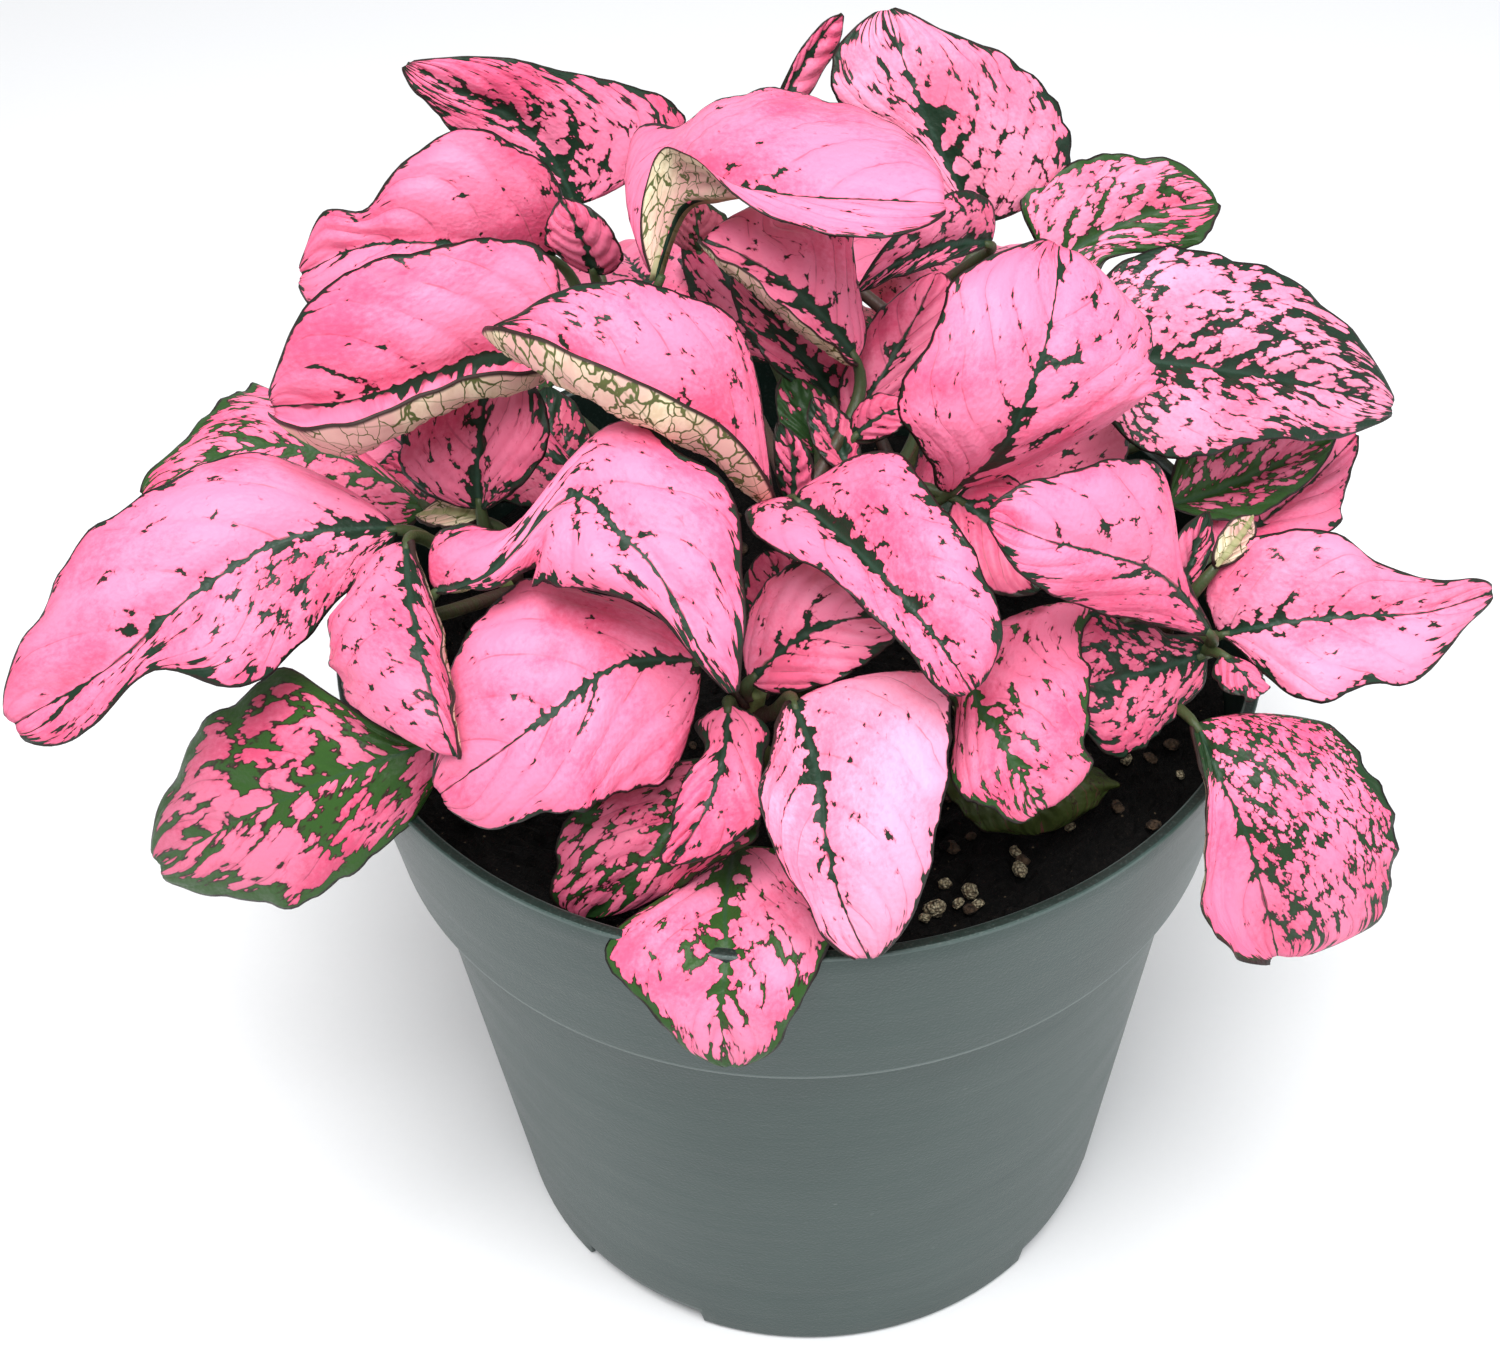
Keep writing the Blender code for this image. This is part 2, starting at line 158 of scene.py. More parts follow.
# name, stem, height of its joint; base, middle and tip of the midrib, left and right
# edge at the middle; look
LEAVES = (
    ("leaf_far_left", "west", 104,
     (-41, -11, 112), (-60, -21, 112), (-81, -26, 99), (-55, -29, 104), (-68, -14, 116),
     dict(outlines="heart pear", lift=(0.1, 0.15), bow=(0, 1.8, 0.2, -1.9, 0),
          wide=((0.2, 0.55, 0.8, 0.85, 0.3, 0.6, 1.4), (2.2, 1.5, 1.1, 1.1, 1, 0.9)), painted_shade=-0.05,
          spots=(0.5, 0.15), rib=0.58, side=0.9, quilt=0.55)),
    ("leaf_left_behind", "west", 100,
     (-40, 0, 106), (-57, 8, 109), (-73, 5, 104), (-61, 3, 100), (-64, 16, 109),
     dict(wide=(EVEN, (4, 2.4, 1.4, 0.9, 0.65, 0.9)), green=0.7, spots=0.7, rim=0.5, painted_shade=0.1,
          grain=1.2)),
    ("leaf_upper_left_cupped", "north_west", 104,
     (-24, -3, 127), (-37, -8, 128), (-53, -6, 124), (-37, -12.5, 129), (-37, -2, 140),
     dict(lift=(-0.75, 0.1), bow=(0, 1.4, 0, -1, 0),
          wide=((1.4, 1.1, 0.9, 1.1, 1.7, 1.7), (1.5, 1, 0.9, 1, 1.1, 0.9)), spots=0.12, quilt=0.35)),
    ("leaf_centre_cupped", "centre", 109,
     (-2, -14, 116), (-14, -17, 132), (-29, -10, 135), (-14, -22, 137), (-12, -9, 138),
     dict(lift=(-0.45, 0.1), bow=(0, 1.4, 0.1, -0.5, 0), wide=(EVEN, (0.4, 1.1, 1.1, 1, 0.9, 0.5)),
          spots=0.34, rib=0.58, side=0.8)),
    ("leaf_left_shaded", "west", 103,
     (-33, -7, 111), (-32.5, -4.5, 118.5), (-31, 2, 123), (-40.5, -4.5, 117.5), (-24.5, -8.5, 121.5),
     dict(wide=((0.8, 1, 1, 1.1, 1.3, 2.2), (0.5, 0.7, 0.95, 1, 0.95, 1.1)), spots=0.5, painted_shade=0.5)),
    ("leaf_left_folded", "west", 102,
     (-39, -17, 115), (-36, -32, 114), (-32.5, -40.5, 107.5), (-32, -36, 116), (-45, -27, 110),
     dict(lift=(-0.3, 0.2), wide=((0.4, 0.6, 0.8, 0.7, 0.65, 0.7), (1.1, 0.95, 1.1, 1.25, 1.6, 3.5)),
          spots=0.38, painted_shade=0.2)),
    ("leaf_left_green", "west", 92,
     (-35, -28, 98), (-51, -31, 94), (-72, -23.5, 74.5), (-50, -36, 82), (-58, -20, 97),
     dict(outlines="blunt blunt",
          wide=((1, 0.8, 0.85, 0.95, 0.8, 0.8), (0.2, 0.2, 1.1, 1, 1.05, 0.9, 0.85)), green=0.9,
          spots=0.77, rim=1.0, rib=0.9, grain=2.0, painted_shade=0.3)),
    ("leaf_top_left", "north_west", 101,
     (-26, 47, 115), (-33, 48, 127), (-44, 46, 135), (-42, 44, 125), (-24, 52, 130),
     dict(outlines="round heart", bow=(0, 0.6, 0, -1.1, 0),
          wide=((0.7, 0.75, 0.75, 0.6, 0.5, 0.65), (2, 1.5, 1.1, 0.95, 1, 0.7)), spots=0.5, rib=0.9,
          side=1.0)),
    ("leaf_top_left_folded", "north_west", 106,
     (-26.5, 26.5, 120.5), (-40, 20.5, 126.5), (-55, 22.5, 121.5), (-43, 15.5, 121.5), (-38, 25.5, 136.5),
     dict(outlines="round heart", bow=(0, -0.6, 0, 0.8, 0),
          wide=((1.9, 1, 1.1, 1.2, 1.45, 1.9), (0.45, 0.8, 0.9, 1.05, 0.85, 0.45, 0.85, 0.75)),
          spots=0.12, quilt=0.8, painted_shade=0.1)),
    ("leaf_top_left_inner", "north_west", 110.8,
     (-22, 25, 119), (-23, 23, 125), (-25, 25, 129), (-27, 23, 125), (-19, 23, 125),
     dict(spots=0.1, painted_shade=0.3)),
    ("leaf_top_arched", "north_west", 109,
     (-14, 8.5, 128), (-3, 5.5, 140), (16, 2.5, 140), (-2, 22, 141), (-2.5, 0.5, 139),
     dict(outlines="blunt round", bow=(0, -3.4, -2, -0.4, 1.1, 1.1, 0),
          wide=((2.5, 1, 0.95, 1, 1.3, 1.4, 1.8), (2.6, 1.8, 1.1, 1, 1.3, 1.9, 2.6)), spots=(0.1, 0.2),
          rib=0.75, quilt=0.4, fan=0.7,
          twist=((4, 4, 4, 4, 0, 0, 0), (-150, -150, -135, -80, -25, -5, 0, 0, 0)))),
    ("leaf_top_bud", "north_east", 104,
     (-2, 46, 125), (3, 49, 133), (7, 51, 137), (2, 49, 134), (5, 50, 131),
     dict(spots=0.1, painted_shade=0.2)),
    ("leaf_top_right", "north_east", 107,
     (23, 41, 114.5), (16.5, 44, 127), (12, 51.5, 137.5), (4.5, 42, 127), (29.5, 48, 129),
     dict(outlines="round heart", wide=((0.35, 0.3, 0.3, 0.8, 1, 1.2), (1, 1, 1.05, 1, 0.8, 0.5)),
          spots=0.52, rib=1.05, grain=1.3, painted_shade=-0.5)),
    ("leaf_upper_right_small", "north_east", 100,
     (31.5, 37.5, 110.5), (41, 42, 114), (52, 44, 115), (36, 46, 121), (46, 39, 111),
     dict(outlines="heart heart", wide=((1.3, 0.95, 0.9, 1, 1.1, 1.8), (1.2, 0.5, 0.7, 1.1, 1.1, 0.8)),
          painted_shade=-0.3, green=0.6, spots=0.6, rim=0.7, rib=0.74)),
    ("leaf_right_upright", "centre", 104,
     (16, -12.5, 116), (23, -14, 130), (26.5, 0, 137), (11, -14, 132), (35, -9, 127),
     dict(outlines="blunt blunt", bow=(0, 0.7, 0.1, 0, 0),
          wide=((0.35, 0.6, 1, 0.95, 1.1, 0.75), (2.2, 1.35, 1.1, 1.1, 1.35, 2.2)), spots=0.25, rib=1.05,
          side=1.0)),
    ("leaf_right_spotted", "north_east", 104,
     (31, 10.5, 116.5), (48.5, 10.5, 113.5), (70, 19.5, 101.5), (50.5, 18.5, 121.5), (47.5, 2.5, 109.5),
     dict(outlines="heart heart", bow=(0, 0, -0.2, -0.4, 0),
          wide=((0.7, 1, 1, 1.1, 1, 1), (0.7, 1.15, 1.15, 0.95, 1.1, 0.95)), painted_shade=-0.6, spots=0.66,
          rib=0.84, grain=1.1)),
    ("leaf_right_shaded", "east", 90,
     (42, 6, 99), (52, 14, 96), (65, 24, 95), (51, 20, 102), (55, 10, 95),
     dict(green=0.8, spots=0.88, rim=1.0, painted_shade=0.3, grain=1.3)),
    ("leaf_right_behind", "east", 86,
     (47, 3, 94), (59, 16, 92), (69, 28, 92), (53, 23, 95), (64, 13, 91),
     dict(wide=(EVEN, (0.65, 0.7, 1.1, 0.8, 0.6, 0.45)), spots=0.05, rib=0.26, painted_shade=0.1)),
    ("leaf_far_right", "east", 92.5,
     (44, -16, 99), (57.5, -18, 103), (74.5, -10, 99), (55.5, -11, 109), (57.5, -26, 99),
     dict(outlines="heart round", bow=(0, -0.5, 0, 0.8, 0),
          wide=((0.9, 0.9, 0.95, 0.9, 0.6, 0.5, 0.7), (0.2, 0.9, 1.05, 0.85, 0.95, 0.6, 0.7)), painted_shade=-0.35,
          spots=0.22, rib=0.48)),
    ("leaf_heart_folded", "centre", 110,
     (7, 4, 121), (0, 5.5, 129.5), (-9, 10, 132.5), (-1.5, 0, 131.5), (6.5, 15, 131),
     dict(lift=(-0.3, 0.1), wide=(EVEN, (0.6, 0.6, 0.85, 1, 0.9, 3)), painted_shade=0.1, rib=0.38)),
    ("leaf_heart_dark", "centre", 103,
     (5, 7, 113), (0, 10, 120), (-6, 17, 124), (-4, 9, 120), (5, 12, 120),
     dict(spots=0.6, painted_shade=0.5)),
    ("leaf_heart_spotted", "north_east", 109,
     (23, 28, 120), (15, 20, 124), (7, 12, 124), (13, 17, 123), (17, 23, 129),
     dict(spots=0.62)),
    ("leaf_heart_upright", "centre", 105.5,
     (6, 3, 113), (11.5, 8, 120), (16, 17.5, 123), (7.5, 10, 120), (17, 9, 120.5),
     dict(waver=0, spots=0.15, painted_shade=0.35, rib=0.3)),
    ("leaf_heart_back", "centre", 100.5,
     (14, 11, 108), (15, 18, 111), (16, 25, 112), (10, 20, 112), (20, 20, 110),
     dict(spots=0.15, painted_shade=0.3)),
    ("leaf_heart_tiny", "centre", 107.5,
     (6, -2, 115), (9, -3, 119), (12.5, -3, 120), (8, -0.5, 119.5), (10.5, -5, 118),
     dict(waver=0, spots=0.15, painted_shade=0.3, rib=0.26)),
    ("leaf_heart_bud", "centre", 111,
     (-0.5, -10, 113), (0, -10, 118), (-1.5, -8, 122), (-2, -10, 118.5), (2, -10, 118),
     dict(waver=0, spots=0.1, painted_shade=0.15, rib=0.21)),
    ("leaf_heart_small", "centre", 98.5,
     (-2, 17, 112), (-6, 23, 117), (-11, 36, 119.5), (-11, 22, 117), (-2, 28, 117),
     dict(waver=0, spots=0.6, painted_shade=0.5)),
    ("leaf_front_left_draped", "west", 98,
     (-35, -26, 116), (-17, -28.5, 126.5), (-6, -40, 114), (-12, -22.5, 128.5), (-23, -31.5, 121.5),
     dict(outlines="heart round", lift=(0.1, 0.2), bow=(0, 3.5, 4, -2, -1, 1, 1.5, 2, 2, 0),
          wide=((1.4, 1, 0.5, 1.1, 1.2, 1.4, 1.2, 1, 0.7), (0.4, 0.2, 0.6, 1.3, 1, 0.85, 0.4, 0.2, 0.3)),
          fan=1.0, spots=(0.3, 0.45), rib=0.48)),
    ("leaf_front_left_broad", "front", 100,
     (-9.5, -28, 108), (-22, -38.5, 112), (-35, -40, 102), (-20, -44.5, 104), (-29, -28.5, 116),
     dict(outlines="round blunt", bow=(0, 1.8, 0.3, -0.4, 0),
          wide=((2.2, 1.4, 1.05, 0.95, 1, 1.8), (1, 0.85, 1, 1, 0.9, 0.7)), spots=0.12, rib=0.8, side=0.6,
          quilt=0.7)),
    ("leaf_front_narrow", "front", 97,
     (-7, -30, 104), (-8.5, -40, 102), (-13, -44, 96), (-3.5, -41, 101), (-12.5, -40, 101),
     dict(wide=((2, 0.95, 0.85, 1.1, 1.05, 1.6), (2.2, 0.6, 0.9, 0.85, 0.8, 1.6)), spots=0.25, rib=0.37)),
    ("leaf_front_pale", "front", 99,
     (-0.5, -33.5, 107.5), (2, -48.5, 105), (6, -54.5, 93.5), (14, -44.5, 107), (-4, -48.5, 108),
     dict(outlines="heart round", lift=(0.1, -0.2), bow=(0, -0.8, 0, 0.5, 0),
          wide=((1.3, 1.05, 0.95, 0.95, 1, 1), (0.5, 0.65, 0.9, 0.9, 0.9, 1.7)), painted_shade=-0.8, spots=0.14,
          rib=0.74, quilt=0.4)),
    ("leaf_front_inner", "front", 101.8,
     (-5, -27.5, 104.5), (2, -27.5, 111.5), (10, -27.5, 112.5), (-0.5, -21.5, 114.5), (5, -31.5, 109),
     dict(waver=0, painted_shade=-0.3, spots=0.25, rib=0.48, side=0.9)),
    ("leaf_front_centre", "centre", 106,
     (0, -16, 118.5), (9, -33, 121), (16, -39.5, 113.5), (15, -27, 126), (4.5, -34.5, 121.5),
     dict(outlines="heart heart", wide=((0.4, 0.9, 0.85, 0.9, 1.1, 1.6), (1.6, 1.5, 1, 0.95, 1.1, 2.2)),
          spots=0.38, rib=0.74, side=0.9)),
    ("leaf_front_right_pink", "east", 91,
     (42, -21.5, 104), (29.5, -28, 120), (17.5, -28.5, 125.5), (24.5, -31, 118), (31.5, -21, 126),
     dict(bow=(0, 1.4, 0, -1, 0), wide=((0.7, 1.1, 1.15, 1, 0.95, 1), (0.2, 0.2, 1, 1, 0.9, 0.85, 0.8)),
          spots=0.2, rib=0.26)),
    ("leaf_front_right_green", "centre", 98,
     (18.5, -21.5, 105), (19, -36.5, 105.5), (23, -40.5, 98.5), (29, -31.5, 106.5), (15, -40.5, 102.5),
     dict(outlines="blunt blunt", bow=(0, 1.4, 0.1, -0.4, 0),
          wide=((2.4, 1.3, 1.05, 0.85, 0.85, 1.6), (2.4, 0.6, 0.95, 1.05, 0.9, 1.3)), green=0.6,
          spots=0.4, rib=1.3, side=0.8, rim=0.3, painted_shade=0.2)),
    ("leaf_right_dark", "east", 89,
     (42, -20, 100), (34, -24.5, 101.5), (26, -28, 103), (36, -27.5, 95.5), (34, -19.5, 106.5),
     dict(wide=((0.8, 0.75, 0.9, 1.15, 1.75, 2.2), (0.7, 0.5, 0.65, 0.9, 1.5, 2.2)), spots=0.72, rib=1.0,
          painted_shade=0.5)),
    ("leaf_lower_right_hanging", "east", 83.6,
     (40, -27.5, 97.5), (44, -38.5, 92.5), (49, -40.5, 75.5), (58, -35.5, 92.5), (39, -42.5, 90.5),
     dict(outlines="blunt round", lift=(0.1, -0.3), bow=(0, 0.5, 0.2, 0.3, 0),
          wide=((1.3, 1.15, 1.05, 1.1, 1.25, 1.8), (0.3, 0.25, 0.65, 1.1, 1.25, 1.3)), green=0.3,
          spots=(0.66, 0.06), rib=0.6, rim=0.3, grain=0.7)),
    ("leaf_lower_left_spotted", "front", 92,
     (-8, -31, 97), (-14, -40, 95), (-21.5, -42, 85.5), (-9, -40, 96), (-23, -38, 97),
     dict(wide=((1, 1.1, 1.7, 2.2, 2.2, 3.5), (0.6, 0.8, 0.95, 1, 1, 1.6)), green=0.5, spots=0.75,
          painted_shade=0.45)),
    ("leaf_rim_front", "front", 86,
     (-7, -35, 88.5), (-7.5, -51.5, 90.5), (-7.5, -56, 79.5), (1.5, -51.5, 91.5), (-19.5, -51.5, 89.5),
     dict(outlines="oval oval", bow=(0, 0.4, 0.1, 0.7, 0),
          wide=((1.5, 1, 1.1, 1.05, 1.2, 1.7), (0.4, 0.7, 0.95, 0.85, 0.7, 1.3)), painted_shade=-0.1, green=0.8,
          spots=(0.45, 0.5), rib=1.16, side=1.2, rim=0.7, grain=1.2)),
    ("leaf_right_curl", "east", 85.8,
     (43, -22, 102), (44.5, -26, 103), (46, -28, 101.5), (46.5, -26, 102), (42.5, -28, 102),
     dict(wide=((2.2, 1.7, 1, 1, 1.4, 2.2), (2, 1.15, 1.05, 0.95, 0.9, 2)), spots=0.2, painted_shade=0.4)),
    ("leaf_soil_olive", "east", 82.5,
     (22, -23, 91), (24, -29, 90), (25, -31, 85), (33, -27, 88), (15, -31, 91),
     dict(rib=0.42, olive=1.0)),
    ("leaf_right_sliver", "east", 92.5,
     (41, -11, 100), (42, -9, 104), (44, -4, 106), (39, -10, 105), (44, -8, 104),
     dict(painted_shade=0.3)),
    # inside and round the back, where the plant is its own screen
    ("leaf_inner_left", "north_west", 94,
     (-24, 8, 104), (-36, 14, 107), (-48, 20, 103), (-34, 5, 103), (-39, 24, 107),
     dict(spots=0.5, painted_shade=0.5)),
    ("leaf_inner_right", "centre", 94,
     (14, 2, 100), (27, 10, 104), (38, 24, 104), (20, 20, 104), (33, 1, 102),
     dict(spots=0.45, painted_shade=0.5)),
    ("leaf_back_left_low", "north_west", 92,
     (-31, 40, 93), (-44, 58, 90), (-58, 72, 80), (-56, 48, 87), (-33, 69, 87),
     dict(green=0.6, spots=0.55, rim=0.8)),
    ("leaf_back_left_high", "north_west", 98,
     (-14, 46, 96), (-21, 66, 95), (-26, 86, 86), (-37, 62, 91), (-7, 72, 92),
     dict(quilt=0.6)),
    ("leaf_back_middle", "north_east", 99,
     (0, 46, 101), (2, 65, 101), (4, 84, 93), (-14, 63, 99), (18, 65, 99),
     dict(spots=0.22, rib=0.69, quilt=0.6)),
    ("leaf_back_right_high", "north_east", 94,
     (17, 48, 94), (25, 68, 93), (33, 86, 83), (12, 73, 91), (41, 64, 92),
     dict(spots=0.45, rib=0.79)),
    ("leaf_back_right_low", "north_east", 90,
     (33, 42, 93), (47, 57, 90), (60, 70, 80), (36, 67, 87), (58, 48, 87),
     dict(spots=0.2, quilt=0.6)),
    ("leaf_back_far_left", "north_west", 89,
     (-42, 25, 98), (-58, 34, 96), (-74, 42, 86), (-64, 24, 92), (-52, 46, 97),
     dict(spots=0.4, painted_shade=0.2)),
    ("leaf_back_far_right", "north_east", 87,
     (46, 26, 95), (60, 38, 93), (73, 50, 83), (53, 48, 91), (67, 30, 89),
     dict(green=0.6, spots=0.6, rim=0.6)),
    ("leaf_back_hanging", "north_east", 88,
     (3, 50, 96), (2, 63, 91), (0, 70, 76), (-11, 62, 86), (14, 62, 86),
     dict(green=0.7, spots=0.5, rib=0.79, rim=0.6)),
)

# Young leaves at the growing tips, too small and too close together for the frame
YOUNG = (
    ("young_leaf_green", "centre", 106,
     (2.8, 0.3, 111.4), (1.4, 3.2, 114.6), (-0.7, 8, 116.9), (-1.6, 2.9, 114.3), (4.6, 3.7, 115),
     dict(spots=0.9, green=0.5, painted_shade=0.6)),
    ("young_leaf_crimson", "centre", 109,
     (5.8, -4.8, 113.2), (4.1, -1.3, 115.6), (2.1, 2.1, 117.8), (1.9, -2.6, 115.6), (6.5, -0.8, 116),
     dict(spots=0.35, painted_shade=0.6, rib=0.34)),
    ("young_leaf_front", "front", 101,
     (0.2, -20.9, 103.3), (-1.2, -17.1, 107.5), (-3.2, -13.6, 109.9), (-5.6, -18.2, 106.5),
     (3.6, -16.4, 108.1),
     dict(spots=0.35, painted_shade=0.6, rib=0.34)),
    ("young_leaf_right", "centre", 108,
     (16.2, -12.2, 115.1), (20.7, -16.5, 113.3), (24.3, -21.6, 110.6), (23.8, -12.6, 115.8),
     (17.4, -20.2, 110.9),
     dict(spots=0.2, painted_shade=0.4, rib=0.34)),
    ("young_leaf_west", "west", 96,
     (-39.3, 3.7, 104), (-42.9, 7.1, 105), (-47.3, 9.5, 104), (-41.8, 3.4, 103), (-43.4, 10, 106),
     dict(painted_shade=0.7, rib=0.34)),
    # a near-black leaf in the dark gap between the leaves: its darkness is painted shade
    ("young_leaf_shade", "west", 93,
     (-27.5, 9.9, 98), (-28.1, 17.4, 101), (-28.9, 25.2, 104), (-32.1, 17.6, 101), (-23.5, 18.2, 101),
     dict(spots=0.9, painted_shade=1.0, rib=0.84)),
    ("young_leaf_arch", "centre", 110,
     (-10.2, 28.8, 118), (-10.4, 29.5, 122), (-10.9, 31.7, 125), (-14.2, 32.1, 121), (-6.1, 31, 121),
     dict(painted_shade=0.7, olive=0.3, rib=0.34)),
    ("young_leaf_turned", "west", 99,
     (-33, -5.4, 108.4), (-36.4, -4.9, 108.6), (-40.5, -3.8, 107.4), (-36, -7.4, 107), (-37, -3.2, 109),
     dict(twist=OVER)),
    ("young_leaf_folded", "east", 96,
     (43.2, -13, 105.5), (45.8, -10.6, 107.5), (47.5, -8.3, 108.5), (44.6, -9.6, 108),
     (47.3, -11.1, 106.5),
     dict(twist=OVER)),
)


# ---------------------------------------------------------------- geometry

def unit(vectors):
    """Vectors scaled to a length of 1."""
    return vectors / np.linalg.norm(vectors, axis=-1, keepdims=True)


def through(start, middle, end):
    """Control points of the quadratic curve that passes the middle halfway."""
    start, middle, end = (np.asarray(p, float) for p in (start, middle, end))
    return start, 2 * middle - (start + end) / 2, end


def bezier(points, t):
    """Points and unit tangents of a quadratic or cubic curve at t from 0 to 1."""
    while len(points) > 2:
        points = [a + (b - a) * t for a, b in zip(points, points[1:])]
    return points[0] + (points[1] - points[0]) * t, unit(points[1] - points[0])


def ring(centre, across, tangent, radii):
    """Points round a tube, first on the left, then over the top, one for each radius."""
    over = np.cross(across, tangent)
    turns = [2 * pi * k / len(radii) for k in range(len(radii))]
    return [centre + r * (-cos(a) * across + sin(a) * over) for a, r in zip(turns, radii)]


def follow(v, values):
    """Smooth curve through values spaced evenly from base (v 0) to tip (v 1)."""
    values = np.asarray(values, float)
    last = len(values) - 1
    x = np.clip(v, 0, 1) * last
    i = np.minimum(x.astype(int), last - 1)
    t = x - i
    ends = np.concatenate([[2 * values[0] - values[1]], values, [2 * values[-1] - values[-2]]])
    a, b, c, d = (ends[i + k] for k in range(4))
    return b + 0.5 * t * (c - a + t * (2 * a - 5 * b + 4 * c - d + t * (3 * (b - c) + d - a)))


# ---------------------------------------------------------------- meshes

def add_mesh(name, points, faces, materials, face_material=None, attributes=None):
    """Smooth object from points in millimetres, with vector attributes on its points."""
    mesh = bpy.data.meshes.new(name)
    mesh.from_pydata([tuple(p) for p in np.asarray(points) * MM], [], faces)
    for material in materials:
        mesh.materials.append(material)
    if face_material is not None:
        mesh.polygons.foreach_set("material_index", face_material)
    mesh.polygons.foreach_set("use_smooth", [True] * len(mesh.polygons))
    for key, values in (attributes or {}).items():
        layer = mesh.attributes.new(key, "FLOAT_VECTOR", "POINT")
        layer.data.foreach_set("vector", np.asarray(values, dtype=np.float32).ravel())
    mesh.update()
    return link(name, mesh)


def link(name, data):
    obj = bpy.data.objects.new(name, data)
    bpy.context.scene.collection.objects.link(obj)
    return obj


def place(obj, node):
    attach(obj, "root")
    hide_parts(node)


def grid_faces(rows, columns, first=0, closed=False, flip=False):
    """Quads over a grid of points stored row by row."""
    faces = []
    for i in range(rows - 1):
        for j in range(columns if closed else columns - 1):
            a = first + i * columns + j
            b = first + i * columns + (j + 1) % columns
            quad = (a, b, b + columns, a + columns)
            faces.append(quad[::-1] if flip else quad)
    return faces


def tube_faces(rings, sides, first, flip):
    """Quads round a row of rings, and a face over each end."""
    end = first + rings * sides
    quads = grid_faces(rings, sides, first, closed=True, flip=flip)
    return [tuple(range(first, first + sides)), *quads, tuple(range(end - sides, end))[::-1]]


# ---------------------------------------------------------------- leaves

def stem_curve(stem):
    foot, middle, tip = STEMS[stem]
    return through((*foot, SOIL_TOP + SOIL_CROWN + CLEARANCE), middle, tip)


def stem_at(stem, height):
    """Point, tangent and radius of a stem at a height."""
    low, high = 0.0, 1.0
    for _ in range(30):
        t = (low + high) / 2
        point, tangent = bezier(stem_curve(stem), t)
        low, high = (t, high) if point[2] < height else (low, t)
    return point, tangent, np.interp(t, (0, 0.5, 1), STEM_RADII)


def blade_grid():
    """v from base to tip by u from the left margin, -1, to the right one, 1.

    Steps are shorter towards the margins.
    """
    s = np.linspace(0, 1, ALONG + 1)
    v = BLADE_START + (BLADE_END - BLADE_START) * (s - 0.035 * np.sin(2 * pi * s))
    half = 1 - (1 - np.linspace(0, 1, ACROSS + 1)) ** 1.25
    return np.meshgrid(v, np.concatenate([-half[:0:-1], half]), indexing="ij")


def blade_faces():
    """Faces of the upper side, the underside and the two ends, with their materials.

    The underside has the margin's points in common with the upper side.
    """
    rows, columns = ALONG + 1, 2 * ACROSS + 1
    above = np.arange(rows * columns).reshape(rows, columns)
    below = above + above.size
    below[:, 0], below[:, -1] = above[:, 0], above[:, -1]
    top = grid_faces(rows, columns)
    under = [(below[i, j], below[i + 1, j], below[i + 1, j + 1], below[i, j + 1])
             for i in range(rows - 1) for j in range(columns - 1)]
    ends = []
    for j in range(columns - 1):
        tip_quad = (above[-1, j], above[-1, j + 1], below[-1, j + 1], below[-1, j])
        base_quad = (above[0, j + 1], above[0, j], below[0, j], below[0, j + 1])
        ends += [tuple(dict.fromkeys(quad)) for quad in (tip_quad, base_quad)]
    return top + under + ends, [FACE] * len(top) + [BACK] * len(under) + [FACE] * len(ends)


def outline(v, shape):
    """Width of half a blade along its length, as a share of its middle width."""
    rise, fall = OUTLINES[shape]
    width = (np.sin(pi * v ** rise) / sin(pi * 0.5 ** rise)).clip(0) ** fall
    return width * (1 - TIP_PINCH * np.exp(-((1 - v) / TIP_LENGTH) ** 2))


